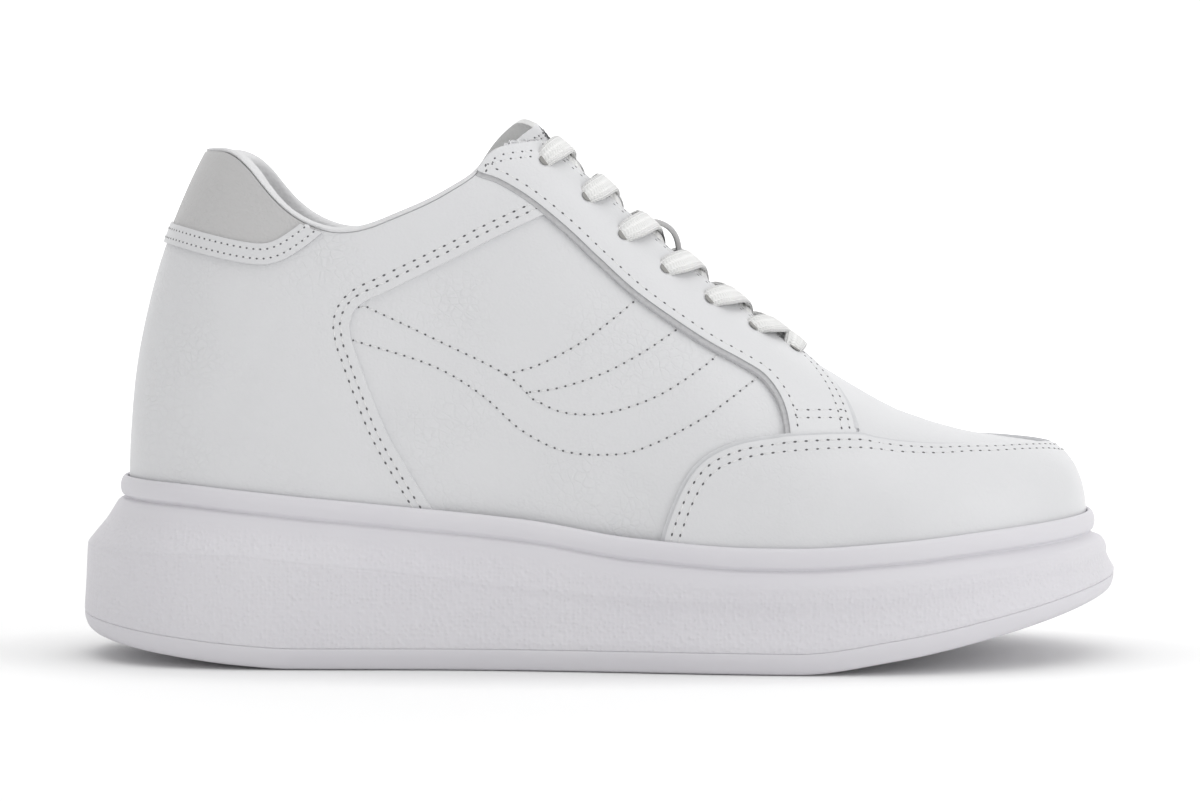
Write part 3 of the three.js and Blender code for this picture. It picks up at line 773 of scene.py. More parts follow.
def joined_sheets(name, sheets):
    """One piece of several sheets that meet at their borders."""
    piece = join([laid_sheet(name, sheet) for sheet in sheets])
    close_seams(piece, 0.00001)
    in_edit_mode(piece, lambda: bpy.ops.mesh.normals_make_consistent(inside=False))
    return piece


# Its front edge in side view, from the eyestay to the sole.
quarter_front = from_side([
    [-14, 126.5], [-28, 120], [-42, 113], [-58, 105.2], [-66.2, 101.2], [-69.4, 97], [-69.3, 92],
    [-67.6, 86.6], [-64.4, 77.8], [-59.6, 66], [-53.2, 54.6], [-46.7, 44.2], [-44.5, 41],
], -1)
corner = quarter_front[:, 0].argmin()
corner_u, corner_v = quarter_front[corner]
upper_arm = quarter_front[:corner + 1][::-1]
lower_arm = quarter_front[corner:]
LOW_ROWS, HIGH_ROWS = np.linspace(0.02, 1, 34), np.linspace(0, 1, 32)


def quarter_grid(u, low, high, rows):
    """Grid of (u, v) at stations u, from v = low to v = high."""
    return np.stack(np.broadcast_arrays(u, low + rows[:, None] * (high - low)), -1)


back = np.linspace(-corner_u, corner_u, 241)
grids = [quarter_grid(back, 0, corner_v, LOW_ROWS), quarter_grid(back, corner_v, wall_top(back), HIGH_ROWS)]
for side in (-1, 1):
    for arm in (lower_arm, upper_arm):
        u = np.linspace(corner_u, arm[-1, 0], 60)
        order = np.argsort(arm[:, 0])
        edge = np.interp(u, arm[order, 0], arm[order, 1])
        if arm is lower_arm:
            grid = quarter_grid(u, 0, edge, LOW_ROWS)
        else:
            grid = quarter_grid(u, edge, wall_top(u), HIGH_ROWS)
        grids.append(grid if side < 0 else mirrored_side(grid, side)[:, ::-1])
sheets = []
for grid in grids:
    u, v = grid[..., 0], grid[..., 1]
    sheets.append(skin(u, v, leather_lift(u, v) + GAP))
rear_quarter = joined_sheets("rear_quarter", sheets)
leather_piece(rear_quarter, QUARTER)
dress(rear_quarter, (quarter_leather, smooth_leather), "white_leather")
for side in (-1, 1):
    for inset in (2.4, 4.3):
        sew(mirrored_side(beside(quarter_front, -inset), side), QUARTER)


# ---------------------------------------------------------------- heel tab
# Grey grained leather round the back of the collar. A narrow white trim strip covers its lower edge, with
# two rows of short stitches.

TAB_POINTS = 320
# Lower edge in side view, from the heel to the collar's lowest point.
tab_side = from_side([
    [-123, 118.6], [-118, 117.6], [-108, 115.2], [-100, 113.6], [-93.6, 113], [-88.6, 114.2], [-83.6, 117.2],
    [-79.2, 120.6], [-77.4, 122.4],
], -1)
tab_back = from_side([[-127.6, 119.8], [-127, 119.6]], -1)[:1]
tab_back[0, 0] = 0
tab_lower = np.concatenate([mirrored_side(tab_side, 1)[::-1] - (ROUND, 0), tab_back, tab_side])
tab_lower = even_line(tab_lower, TAB_POINTS)
soften(tab_lower, 12)
tab_top_u = np.linspace(tab_lower[0, 0], tab_lower[-1, 0], TAB_POINTS)
tab_top = even_line(np.stack([tab_top_u, wall_top(tab_top_u)], 1), TAB_POINTS)
grey_leather = leather("grey_leather", (0.58, 0.575, 0.575), (0.51, 0.505, 0.505), 0.5, 1.0, 0.9, 0.00016)
heel_tab = panel("heel_tab_leather", between_lines(tab_lower, tab_top, 40), QUARTER + 0.35, 0.03)
dress(heel_tab, grey_leather, "grey_leather", "heel_tab")
strip = [beside(tab_lower, -1.2), beside(tab_lower, 4.6)]
for line in strip:
    line[:, 1] = np.minimum(line[:, 1], wall_top(line[:, 0], 0.6))
trim = panel("heel_trim", between_lines(*strip, 8), 0.75, QUARTER + 0.3, 0.3)
dress(trim, smooth_leather, "white_leather")
for inset in (0.4, 3.0):
    sew(beside(tab_lower, inset)[4:-4], QUARTER + 1.0, 2.0)


# ---------------------------------------------------------------- toe cap
# White leather round the toe, from the sole up, held by a double row of stitches. A strip of its foam backing
# shows as a pale grey line along the upper edge.

# Upper edge: up the outer side, round the toe's top, and down the inner side.
CAP_SIDE = [
    [17.7, 31], [17.9, 36], [19.8, 42.2], [22, 47.8], [25.4, 54], [30.3, 58.8], [38.7, 62.3], [50, 63.8],
    [64, 64.0], [72, 63.6],
]
CAP_TIP_Y = 4
CAP_FOOT_V = 0.03
CAP_POINTS = 440
HUMP = 0.75
cap_top = curve_through([
    [78, -35.2], [84, -33.6], [93, -30.1], [105.5, -23.2], [113, -18.4], [119, -13.4], [124.5, -7.4],
    [128.3, -1.4], [129.4, CAP_TIP_Y], [128.3, 9.4], [124.5, 14], [119, 18.2], [113, 21.9], [105.5, 25.6],
    [93, 30.4], [84, 32.8], [78, 34.2],
])
tip = int(np.abs(cap_top[:, 1] - CAP_TIP_Y).argmin())
cap_edge = np.concatenate([
    from_side(CAP_SIDE, -1),
    locate(cap_top[:tip], TOP_VIEW, -1, 0.3),
    locate(cap_top[tip + 1:], TOP_VIEW, 1, 0.3),
    from_side(CAP_SIDE, 1)[::-1],
])
cap_edge = even_line(cap_edge, CAP_POINTS)
soften(cap_edge, 14)
cap_foot_u = np.linspace(cap_edge[0, 0], cap_edge[-1, 0], CAP_POINTS)
cap_foot = even_line(np.stack([cap_foot_u, np.full(CAP_POINTS, CAP_FOOT_V)], 1), CAP_POINTS)


def cap_hump(uv):
    """The cap's edge rides a little higher where it lies over the end of an eyestay."""
    x, _, z = np.moveaxis(sample(skin_points, uv[..., 0], uv[..., 1]), -1, 0)
    return HUMP * ease(x, 46.5, 52) * (1 - ease(x, 71.5, 77)) * ease(z, 59, 63)


cap_grid = between_lines(cap_foot, cap_edge, 34)
toe_cap = panel("toe_cap_leather", cap_grid, OVERLAY, 0.03 + cap_hump(cap_grid))
dress(toe_cap, (smooth_leather, foam_edge), "white_leather", "toe_cap")
band_grid = between_lines(beside(cap_edge, -HIDDEN)[3:-3], beside(cap_edge, 1.2)[3:-3], 6)
band = panel("toe_cap_backing", band_grid, 0.9, GAP + cap_hump(band_grid), 0.2)
dress(band, foam_edge, "white_leather")
for inset in (1.7, 4.0):
    row = beside(cap_edge, -inset)[6:-6]
    sew(row, OVERLAY + cap_hump(row))


# ---------------------------------------------------------------- eyestays
# Two white leather panels along the throat, from the collar down to the toe cap, which covers their pared
# ends. A grey lining strip shows past the rear edge, and its grey is partly painted shade: the shade line
# under the eyestay's raised edge. A strip of foam shows past the front edge.

# Rear and lower edge in side view, and front edge from above. The inner side takes the mirrored front edge.
EYESTAY_LOWER = [
    [-29.5, 144.2], [-33.2, 141.4], [-35.0, 138.4], [-33.4, 137.2], [-28, 135.2], [-19.6, 130], [-9.8, 122],
    [0, 112.8], [11.2, 102.8], [28, 91], [39, 84.6], [45.2, 80.6], [49.4, 75.4], [51.6, 70], [52.7, 62.6],
]
EYESTAY_FRONT = np.array([
    [50, -10.7], [56.4, -11.9], [61.2, -16.1], [65.2, -22.6], [68.1, -29.4], [69.8, -35.2], [70.1, -37.5],
]) + (0, CREST_Y)
FRONT_END = np.array([[70.5, 65.4], [70.9, 61.8]])  # the front edge's way down under the cap, in side view
BEHIND_THROAT_X = -19.5
EYESTAY_POINTS, THROAT_POINTS = 330, 300
PARED = 1.25
CAP_LINE_Z = 63  # the toe cap hides what lies lower


def above_cap(line):
    return line[sample(skin_points, line[:, 0], line[:, 1])[:, 2] > CAP_LINE_Z]


for side, name, node in ((-1, "eyestay_outer", "eyestay_lateral"), (1, "eyestay_inner", "eyestay_medial")):
    lower = from_side(EYESTAY_LOWER, side)
    lower[:, 1] = np.minimum(lower[:, 1], panel_top(lower[:, 0], 0.7))
    lower = even_line(lower, EYESTAY_POINTS)
    soften(lower, 5)
    front = even_line(locate(curve_through(EYESTAY_FRONT), TOP_VIEW, -1, 0.35))
    front = mirrored_side(np.concatenate([front, locate(FRONT_END, SIDE_VIEW, -1)]), side)
    line_u = np.linspace(lower[0, 0], front[0, 0], THROAT_POINTS)
    throat = np.stack([line_u, panel_top(line_u, 0.7)], 1)
    throat = throat[sample(skin_points, line_u, throat[:, 1])[:, 0] > BEHIND_THROAT_X]
    inner = even_line(np.concatenate([throat, front[2:]]), EYESTAY_POINTS)
    grid = between_lines(lower, inner, 36)[::-side]
    # The lower end is pared thin, and sinks into the wall under the cap.
    pared = PARED * (1 - ease(sample(skin_points, grid[..., 0], grid[..., 1])[..., 2], 63.6, 65.4))
    eyestay = panel(name, grid, EYESTAY, 0.05 - pared, 0.25)
    dress(eyestay, (smooth_leather, cut_edge_and_shade), "white_leather", node)
    # The grey strip behind the rear edge is partly painted shade, the shade line under the raised edge.
    backing(name + "_rear_backing_and_shade", above_cap(lower)[24:], -side, 1.3, 1.4, cut_edge_and_shade)
    backing(name + "_front_backing", above_cap(front)[4:], side, 1.9, 0.9, foam_edge)
    sew(beside(lower, -side * 2.2)[10:-12], EYESTAY)
    for drop in (0.8, 2.4):
        top_row = [[-32.2 + drop * 0.7, 139.4], [-29.4 + drop * 0.5, 142.1 - drop * 0.8],
                   [-25.2, 143.2 - drop], [-20, 143.6 - drop]]
        sew(from_side(top_row, side), EYESTAY, 2.6)
    front_row = even_line(np.concatenate([throat[::4], front[2:]]), 260)
    soften(front_row, 6)
    for inset in (1.5, 3.9):
        sew(beside(front_row, side * inset)[4:-10], EYESTAY)


# ---------------------------------------------------------------- tongue
# A padded leaf of white leather, lined. It lies under both eyestays, and its end stands up above them, a
# little splayed.

UNDER = WALL + 0.5
TONGUE = 1.6
TONGUE_FOOT, TONGUE_TOP = 11.2, 6.88  # stations
HALF_WIDTH, TAPER = 25.0, 7


def over_crest(s, w):
    """(u, v) at station s and at w millimetres from the crest, the outer side being negative."""
    s, w = np.broadcast_arrays(np.asarray(s, float), np.asarray(w, float))
    u = np.where(w < 0, s, ROUND - s)
    return u, 1 - np.abs(w) / length_at(np.clip(u, 0, ROUND - 1e-6))


ROWS, COLUMNS = 110, 61
t = np.linspace(0, 1, ROWS)[:, None]
a = np.linspace(-1, 1, COLUMNS)
s = TONGUE_FOOT + (TONGUE_TOP - TONGUE_FOOT) * t
u, v = over_crest(s, a * (HALF_WIDTH - TAPER * (1 - t) ** 2))
p = sample(skin_points, u, v)
swell = 3.0 * ease(p[..., 2], 137, 150) * ease(15.5 - np.abs(p[..., 1] - CREST_Y), 1, 8)
rounding = 1.2 * ease(np.abs(a[None]), 0.85, 1.0)
top = skin(u, v, -UNDER + swell - rounding)
# The tongue's end, from its outer corner to its inner corner. The inner half stands higher and leans back.
end = table("share x y z", [
    [-1, -33, -18.5, 138.5],
    [-0.7, -27, -14, 143.6],
    [-0.4, -22.6, -8.8, 148.0],
    [-0.1, -18.4, -2.2, 151.3],
    [0.15, -18.8, 3.6, 152.3],
    [0.4, -22.4, 9.4, 153.4],
    [0.6, -26, 13, 151.2],
    [0.8, -30.4, 16.3, 146.8],
    [1, -34.5, 19, 141],
])
smooth_end = curve_through(np.stack(list(end.values()), 1), 0.2)
goal = at_runs(a, smooth_end[:, 0], smooth_end[:, 1:])
top = top + (goal - top[-1])[None] * (ease(t, 0.7, 1.0) ** 1.3)[..., None]
late = ease(t[1:-1], 0.55, 0.75)[..., None]
for _ in range(10):
    top[1:-1] = top[1:-1] * (1 - late) + late * (top[:-2] + 2 * top[1:-1] + top[2:]) / 4
tongue = laid_sheet("tongue_leaf", top)
face_out(tongue)
two_finishes(tongue)
apply(tongue, "SOLIDIFY", thickness=TONGUE * MM, offset=-1, material_offset=1, material_offset_rim=1)
round_edges(tongue, 0.7, 3)
smooth(tongue, 50)
# Painted light: the tongue's lining is painted paler than the collar's lining cloth, to make up for the shade
# inside the throat.
tongue_lining_painted_light = leather("tongue_lining_painted_light", (0.90, 0.90, 0.89), (0.85, 0.85, 0.84), 0.7, 0.2, 0.9)
tongue_lining_painted_light.node_tree.nodes["Principled BSDF"].inputs["Sheen Weight"].default_value = 0.5
dress(tongue, (smooth_leather, tongue_lining_painted_light), "white_leather", "tongue")
tongue_seams = []
normal = unit(np.cross(np.gradient(top, axis=1), np.gradient(top, axis=0)))
normal *= np.sign(normal[ROWS // 2, COLUMNS // 2, 2])
for inset in (2.2, 4.2):
    line, outs = [], []
    for j in range(4, COLUMNS - 4):
        k = ROWS - 2 - int(np.searchsorted(run_along(top[::-1, j])[1:], inset))
        line.append(top[k, j] + normal[k, j] * 0.05)
        outs.append(normal[k, j])
    tongue_seams.append((np.array(line), np.array(outs), 2.6))


# ---------------------------------------------------------------- lace keeper
# A strip of the grey leather along the tongue's middle. It is sewn down at both ends and stands up between
# them as a loop.

KEEPER = 1.4
KEEPER_ENDS = (9.2, 22.8)  # x
KEEPER_HALF_WIDTH = 6.5
KEEPER_ARCH = 7.8
outer = grid_u[:SKIN_U // 2]
first, last = np.interp(KEEPER_ENDS, sample(skin_points, outer, np.ones(SKIN_U // 2))[:, 0], outer)
t = np.linspace(0, 1, 24)[:, None]
u, v = over_crest(first + (last - first) * t, KEEPER_HALF_WIDTH * np.linspace(-1, 1, 9))
arch = KEEPER_ARCH * np.sin(math.pi * t) ** 0.7 + 0 * u
keeper = laid_sheet("lace_keeper", skin(u, v, -UNDER + arch))
face_out(keeper)
apply(keeper, "SOLIDIFY", thickness=KEEPER * MM, offset=1)
round_edges(keeper, 0.3)
smooth(keeper)
dress(keeper, grey_leather, "grey_leather")


# ---------------------------------------------------------------- stitching
# White waxed thread, sunk a little in the leather, with a dark disc at each end of a stitch: painted shade of
# the needle hole. Rows follow the panel edges. Three waves and two long curves are sewn on the quarter as
# plain decoration.

WAVES = [
    [[-67.1, 100.2], [-63, 99.3], [-44.2, 90.5], [-26.3, 81.6], [-18.5, 74.7]],
    [[-68.6, 91], [-47, 84.1], [-33.2, 76.1], [-22.1, 66.4], [-11.1, 60.8], [0, 59.5], [11.1, 61.1],
     [27.7, 69.2], [41.5, 78.9], [45.6, 81.6]],
    [[-26.3, 81.6], [-18, 83.9], [-8.3, 88.6], [0, 94.1], [11, 102.9]],
    [[-19.4, 76.7], [-11.1, 78], [0, 81.6], [11.1, 87.2], [22.9, 94.9]],
    [[-18.5, 74.7], [-11.1, 71.4], [-2.8, 70.6], [5.5, 71.9], [16.6, 76.1], [27.7, 83], [34.6, 88.3]],
]
for side in (-1, 1):
    for wave in WAVES:
        sew(from_side(wave, side), 0.05, 2.45)
    for low_z in (68.6, 70.6):
        sew(from_side([[54.2, low_z + 0.2], [60, low_z], [66.6, low_z - 0.3]], side), EYESTAY)


def bead(segments, rings):
    """Points and faces of a small ball."""
    bpy.ops.object.select_all(action="DESELECT")
    bpy.ops.mesh.primitive_uv_sphere_add(segments=segments, ring_count=rings, radius=1)
    ball = bpy.context.object
    points = np.array([v.co[:] for v in ball.data.vertices])
    faces = [list(face.vertices) for face in ball.data.polygons]
    bpy.data.objects.remove(ball)
    return points, faces


def copies_along(name, ball, places, shapes):
    """One mesh of many small copies of a bead. Each place holds centre, ahead, across and out."""
    knot_points, knot_faces = ball
    points, faces, kinds = [], [], []
    for (centre, ahead, across, out), (length, width, depth, kind) in zip(places, shapes):
        local = knot_points * (length, width, depth)
        start = len(points) * len(knot_points)
        ahead, across, out = np.array(ahead), np.array(across), np.array(out)
        points.append(centre + local[:, :1] * ahead + local[:, 1:2] * across + local[:, 2:] * out)
        faces += [[start + i for i in face] for face in knot_faces]
        kinds += [kind] * len(knot_faces)
    mesh = bpy.data.meshes.new(name)
    place = (np.concatenate(points) + (0, CENTRE_Y, 0)) * MM
    mesh.from_pydata(place.tolist(), [], faces)
    mesh.polygons.foreach_set("material_index", kinds)
    mesh.polygons.foreach_set("use_smooth", [True] * len(kinds))
    piece = bpy.data.objects.new(name, mesh)
    bpy.context.scene.collection.objects.link(piece)
    return piece


THREAD = (0.30, 0.22, 0.13)  # half length as a share of the pitch, half width and half height
HOLE_WIDTH, HOLE_HEIGHT = 0.30, 0.1
places, shapes = [], []  # of the beads
seams = []  # points, directions outwards and pitch
for row, pitch, lift in stitch_rows:
    u, v = row[:, 0], row[:, 1]
    clear = v < wall_top(u, 0.9)
    u, v, lift = u[clear], v[clear], np.broadcast_to(lift, clear.shape)[clear]
    seams.append((skin(u, v, leather_lift(u, v) + lift + 0.03), sample(skin_normals, u, v), pitch))
for p, outs, pitch in seams + tongue_seams:
    run = run_along(p)
    count = max(1, int(run[-1] / pitch))
    at = (np.arange(count) + 0.5) * run[-1] / count
    middle, back, fore = (at_runs(at + shift, run, p) for shift in (0, -0.3, 0.3))
    hole = 0.36 if pitch < 2.8 else 0.52
    places.append((p[0], (1, 0, 0), (0, 0, 1), (0, -1, 0)))
    shapes.append((HOLE_WIDTH, HOLE_WIDTH, HOLE_HEIGHT, 1))
    for c, ahead, n in zip(middle, unit(fore - back), unit(at_runs(at, run, outs))):
        across = unit(np.cross(n, ahead))
        n = np.cross(ahead, across)
        places.append((c, ahead, across, n))
        shapes.append((pitch * THREAD[0], *THREAD[1:], 0))
        places.append((c + ahead * pitch * 0.5, ahead, across, n))
        shapes.append((hole, HOLE_WIDTH, HOLE_HEIGHT, 1))
stitches = copies_along("stitching", bead(6, 4), places, shapes)
thread = paint("thread", (0.78, 0.78, 0.78), 0.6)[0]
# Near black discs at the stitch ends: painted shade in the needle holes.
needle_hole_shade = paint("needle_hole_shade", (0.13, 0.13, 0.135), 0.9)[0]
dress(stitches, (thread, needle_hole_shade), "white_leather")


# ---------------------------------------------------------------- midsole
# One moulding of light white foam, thick at the heel, that cups the foot of the wall. It has a bead round its
# rim, a groove under the bead, a rounded shoulder and a finely pebbled wall.

OUTSOLE = 6.0
GROOVE_DROP = 6.2  # from the rim down to the groove
PEBBLE_DROP = 1.5  # from the groove down to where the pebbles begin
PEBBLE_FADE = 7
around = np.linspace(0, ROUND, 513)
foot = lasted(around, 0 * around)
heading = lasted(around + U_STEP, 0 * around) - lasted(around - U_STEP, 0 * around)
outward = unit(np.stack([heading[:, 1], -heading[:, 0], 0 * around], 1))
foot_x = foot[:, 0]
rim, shoulder = height("rim", foot_x), height("shoulder", foot_x)
ground = height("ground", foot_x)
parting = ground + OUTSOLE
groove = rim - GROOVE_DROP
wall_out, ledge_out = station("wall", around), station("ledge", around)
bulge_out, edge_out = station("bulge", around), station("edge", around)


def ring(out, z):
    """A ring round the shoe at a distance outside the foot line and at a height."""
    p = foot + outward * np.broadcast_to(out, foot_x.shape)[:, None]
    return np.stack([p[:, 0], p[:, 1], np.broadcast_to(z, foot_x.shape)], 1)


def across_sole(line, count):
    """A sheet that spans a closed ring from its outer side to its inner side."""
    half = len(line) // 2
    outer, inner = line[:half + 1], line[::-1][:half + 1]
    t = np.linspace(0, 1, count)[None, :, None]
    return outer[:, None] * (1 - t) + inner[:, None] * t


soft = 1 - ease(-foot_x, -40, 60)  # 0 at the heel and 1 at the forefoot: how rounded the shoulder is


def slope(t):
    """Ring on the way from the shoulder, t = 0, up to the bulge, t = 1."""
    bulge_z = groove * 0.55 + shoulder * 0.45
    return ring(ledge_out * (1 + (bulge_out - 1) * t), shoulder * (1 - t) + bulge_z * t)


# From the parting line up: wall, shoulder, slope up to the bulge, groove, bead round the rim, and inner face.
tall = shoulder - parting
dip = 0.12 + 0.55 * soft * (1 - ease(foot_x, 85, 130))
side_rings = [
    ring(wall_out - 0.22, parting + 0.02),
    ring(wall_out, parting + 0.3),
    ring(wall_out, parting + np.minimum(2, 0.15 * tall)),
    ring(ledge_out * 0.5 + wall_out * 0.5, parting + 0.5 * tall - np.minimum(1 + 1.5 * soft, 0.12 * tall)),
    ring(ledge_out * 0.97 + wall_out * 0.03 - 0.2 * soft, shoulder - np.minimum(2 + 2.2 * soft, 0.3 * tall)),
    ring(ledge_out - dip, shoulder - np.minimum(0.55 + 0.6 * soft, 0.1 * tall)),
    slope(0.07 + 0.25 * soft),
    slope(0.5 + 0.1 * soft),
    slope(1.0),
    ring(bulge_out * ledge_out * 0.35 + 2.7 * 0.65, groove - 1.1),
    ring(2.45, groove - 0.1),
    ring(2.6, groove + 0.45),
    ring(3.35, rim - 5.1),
    ring(3.75, rim - 3.1),
    ring(3.3, rim - 1.1),
    ring(2.5, rim - 0.1),
    ring(1.9, rim - 0.15),
    ring(1.6, rim - 1.2),
    ring(1.6, rim - 6.9),
]
wall_sheet = through(np.array(side_rings), 4)
floor_sheet, top_sheet = across_sole(wall_sheet[0], 24), across_sole(wall_sheet[-1], 24)
midsole = joined_sheets("midsole_body", [wall_sheet, floor_sheet, top_sheet])
smooth(midsole, 50)
pebble = midsole.data.attributes.new("pebble", "FLOAT", "POINT")
co = np.array([v.co[:] for v in midsole.data.vertices]) / MM
under_rim = height("rim", co[:, 0]) - GROOVE_DROP - PEBBLE_DROP - co[:, 2]
pebble.data.foreach_set("value", ease(under_rim, 0, PEBBLE_FADE).astype(np.float32))
rubber, tree, shader, place = mottled("sole_rubber", 0.55, 26, 3, (0.74, 0.73, 0.755), (0.69, 0.675, 0.715))
mark = add_node(tree, "ShaderNodeAttribute", attribute_name="pebble").outputs["Fac"]
beads = cells(tree, place, "SMOOTH_F1", 820.0, Randomness=0.6)
relief = times(tree, times(tree, beads, -1.0), mark)
relief = plus(tree, relief, times(tree, noise(tree, place, 40), 0.5))
bump(tree, shader, relief, 0.00035)
dress(midsole, rubber, "sole_rubber", "midsole")


# ---------------------------------------------------------------- outsole
# A thin rubber tread in the midsole's colour, cemented under it, with bars across heel and forepart and a
# flat margin round them.

# Bars of the tread: x of the middle, and how far its ends are drawn towards the heel.
TREAD = [(-112, -9), (-96, -7), (-80, -5), (4, 8), (22, 8), (40, 8), (58, 8), (76, 6)]
BAR = 3.4
TREAD_DEPTH = 2.2
TREAD_HALF_WIDTH = 33


def tread(sheet):
    """The underside, with the gaps between its bars pressed in."""
    x, y = sheet[..., 0], sheet[..., 1]
    inside = ease(TREAD_HALF_WIDTH - np.abs(y), 0, 1.2)
    cut = 0 * x
    for middle, lead in TREAD:
        off = x - (middle - lead * (y / TREAD_HALF_WIDTH) ** 2) - BAR / 2
        cut = np.maximum(cut, ease(BAR / 2 + 0.3 - np.abs(off), 0, 0.6))
    rise = TREAD_DEPTH * cut * inside
    out = sheet.copy()
    out[..., 2] = height("ground", x) + rise
    out[:, 0, 2], out[:, -1, 2] = sheet[:, 0, 2], sheet[:, -1, 2]
    return out


# From the ground up to the parting line.
side_rings = [
    ring(edge_out, ground),
    ring(edge_out * 0.55 + wall_out * 0.45 - 0.3, ground + 0.5),
    ring(wall_out - 1, ground + 2.0),
    ring(wall_out - 0.15, ground + 4.2),
    ring(wall_out, parting - 0.35),
    ring(wall_out - 0.2, parting - 0.01),
]
wall_sheet = through(np.array(side_rings), 4)
tread_sheet, top_sheet = tread(across_sole(wall_sheet[0], 80)), across_sole(wall_sheet[-1], 24)
outsole = joined_sheets("outsole_tread", [wall_sheet, tread_sheet, top_sheet])
smooth(outsole, 40)
dress(outsole, rubber, "sole_rubber", "outsole")


# ---------------------------------------------------------------- insole
# The CAD model's own footbed on its hidden heel wedge. It only takes the cloth of the lining.

footbed = bpy.data.objects["insole"]
footbed.data.materials.clear()
footbed.data.materials.append(lining)


# ---------------------------------------------------------------- eyelets
# Seven pairs of holes punched in the eyestays, without metal, each shown by a thin disc on the leather,
# painted dark as the shade inside the hole.

EYELETS = np.array([
    [-16.9, 140.1], [-5.1, 130], [5.1, 119.3], [16.9, 109.7], [29.3, 101], [41.8, 93.3], [53.7, 86.8],
])
HOLE = 1.7
HOLE_SHIFT = (0.7, 0, 0)
holes = {side: locate(EYELETS, SIDE_VIEW, side) for side in (-1, 1)}
places, shapes = [], []
for side in (-1, 1):
    for u, v in holes[side]:
        n = unit(sample(skin_normals, u, v))
        ahead = unit(np.cross(n, (0, 1, 0)))
        places.append((skin(u, v, EYESTAY) + HOLE_SHIFT, ahead, np.cross(n, ahead), n))
        shapes.append((HOLE, HOLE, 0.1, 0))
eyelets = copies_along("eyelet_holes", bead(28, 6), places, shapes)
# Dark grey discs: painted shade inside the punched holes.
hole_shade = paint("hole_shade", (0.30, 0.295, 0.285), 0.95)[0]
dress(eyelets, hole_shade, "lining")


# ---------------------------------------------------------------- lace
# A flat woven cotton lace. It runs over a bar at the lowest pair of holes and then criss-crosses, out of each
# hole and down under the far eyestay. Its ends stop inside at the top holes.

LACE_WIDTH = 7.4
LACE_THICKNESS = 1.7
SQUARE = 0.75  # below 1 the band's section is squarer than an ellipse


def crest_place(uv):
    """Station and signed millimetres from the crest."""
    u, v = uv
    s = u if u <= TOE else ROUND - u
    off = (1 - v) * length_at(u)
    return np.array([s, -off if u <= TOE else off])


def ribbon(stops):
    """A flat woven band through stops: station, millimetres from the crest, lift and share of full width."""
    line = curve_through(stops, 0.25)
    u, v = over_crest(line[:, 0], line[:, 1])
    p = skin(u, v, line[:, 2])
    run = run_along(p)
    at = np.linspace(0, run[-1], int(run[-1] / 0.5) + 1)
    p, n = at_runs(at, run, p), at_runs(at, run, unit(sample(skin_normals, u, v)))
    soften(p, 3)
    across = unit(np.cross(p[-1] - p[0], n))[:, None]
    up = np.cross(across, unit(np.gradient(p, axis=0))[:, None])
    turn = np.linspace(0, 2 * math.pi, 21)
    wide, thick = (np.sign(f) * np.abs(f) ** SQUARE / 2 for f in (np.cos(turn), np.sin(turn)))
    wide = LACE_WIDTH * wide[None, :, None] * np.interp(at, run, line[:, 3])[:, None, None]
    return p[:, None] + across * wide + up * (LACE_THICKNESS * thick)[None, :, None], at


# Share of the way across and along to the far hole, lift off the skin, and share of the full width.
CROSSING = (
    (0.0, 0.0, -4.0, 0.6), (0.0, 0.0, -0.3, 0.65), (0.035, 0.1, 2.3, 0.85), (0.11, 0.3, 3.5, 1.0),
    (0.22, 0.5, 3.6, 1.0), (0.36, 0.66, 2.9, 1.0), (0.55, 0.8, 1.9, 1.0), (0.72, 0.9, 0.7, 1.0),
    (0.82, 0.95, -1.0, 1.0), (0.92, 1.0, -3.4, 0.9),
)
# Share of the way across the bar, lift and width. The second half mirrors this one.
HALF_BAR = ((0.0, -4.0, 0.55), (0.0, -0.5, 0.6), (0.03, 2.2, 0.85), (0.12, 3.7, 1.0), (0.3, 3.3, 1.0))

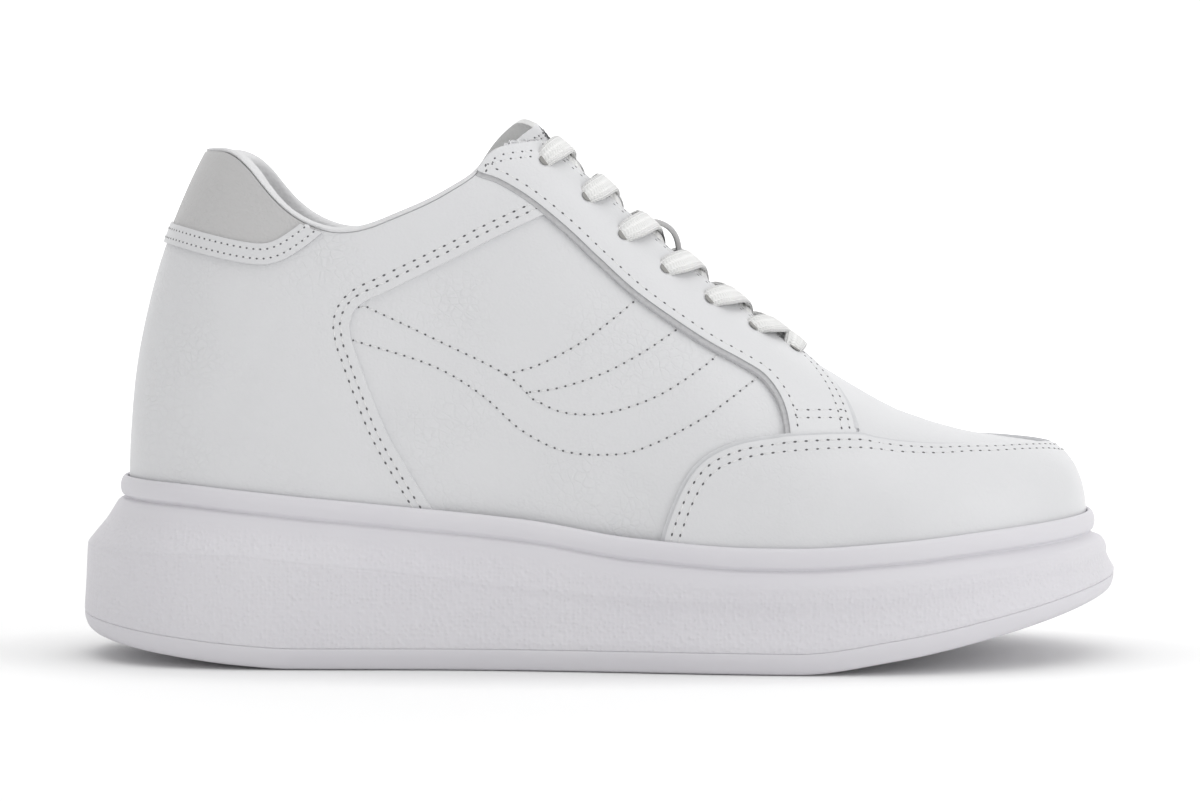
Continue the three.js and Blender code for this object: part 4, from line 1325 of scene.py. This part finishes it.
sheets = []
for row in range(len(EYELETS) - 1):
    for side in (-1, 1):
        start = crest_place(holes[side][row])
        far = crest_place(holes[-side][row + 1])
        over = 1.0 if side < 0 else 0.0
        stops = []
        for t, ahead, lift, wide in CROSSING:
            s, off = start[0] + (far[0] - start[0]) * ahead, start[1] + (far[1] - start[1]) * t
            stops.append([s, off, lift + over * math.sin(math.pi * t), wide])
        sheets.append(ribbon(stops))
low_out, low_in = crest_place(holes[-1][-1]), crest_place(holes[1][-1])
bar = HALF_BAR + ((0.5, 3.0, 1.0),) + tuple((1 - t, lift, wide) for t, lift, wide in HALF_BAR[::-1])
stops = [[*(low_out + (low_in - low_out) * t), lift, wide] for t, lift, wide in bar]
sheets.append(ribbon(stops))
bands = []
for body, at in sheets:
    band = laid_sheet("lace", body)
    across_map = np.linspace(0, 2, body.shape[1])
    uv = np.stack(np.broadcast_arrays(across_map[None, :], at[:, None] / LACE_WIDTH), -1).reshape(-1, 2)
    corner_index = np.zeros(len(band.data.loops), int)
    band.data.loops.foreach_get("vertex_index", corner_index)
    band.data.uv_layers[0].data.foreach_set("uv", uv[corner_index].astype(np.float32).ravel())
    bands.append(band)
lace = join(bands)
close_seams(lace, 0.000005)
in_edit_mode(
    lace,
    lambda: bpy.ops.mesh.select_all(action="DESELECT"),
    lambda: bpy.ops.mesh.select_mode(type="EDGE"),
    lambda: bpy.ops.mesh.select_non_manifold(),
    lambda: bpy.ops.mesh.fill_holes(sides=0),
    lambda: bpy.ops.mesh.select_all(action="SELECT"),
    lambda: bpy.ops.mesh.normals_make_consistent(inside=False),
)
smooth(lace, 60)
cotton, tree, shader = paint("lace_cotton", (0.88, 0.88, 0.87), 0.9)
shader.inputs["Sheen Weight"].default_value = 0.2
uv_place = add_node(tree, "ShaderNodeTexCoord").outputs["UV"]
split = add_node(tree, "ShaderNodeSeparateXYZ", {0: uv_place})
ply = math_node(tree, "SINE", times(tree, split.outputs[0], math.tau * 6))
slant = math_node(tree, "PINGPONG", times(tree, split.outputs[0], 6.0), 0.5)
chevron = plus(tree, times(tree, split.outputs[1], 9.0), slant)
rib = math_node(tree, "SINE", times(tree, chevron, math.tau))
weave_relief_and_shade = plus(tree, times(tree, ply, 1.5), times(tree, rib, 0.6))
weave_relief_and_shade = spread(tree, weave_relief_and_shade, -2.1, 2.1)
bump(tree, shader, weave_relief_and_shade, 0.0005)
# The same pattern darkens the weave's hollows: painted shade on top of the bump.
blend_colour(tree, shader, weave_relief_and_shade, (0.86, 0.86, 0.85), (0.96, 0.96, 0.95))
dress(lace, cotton, "lace", *["lace_crossing_" + str(i) for i in range(1, 7)], "lace_bar")
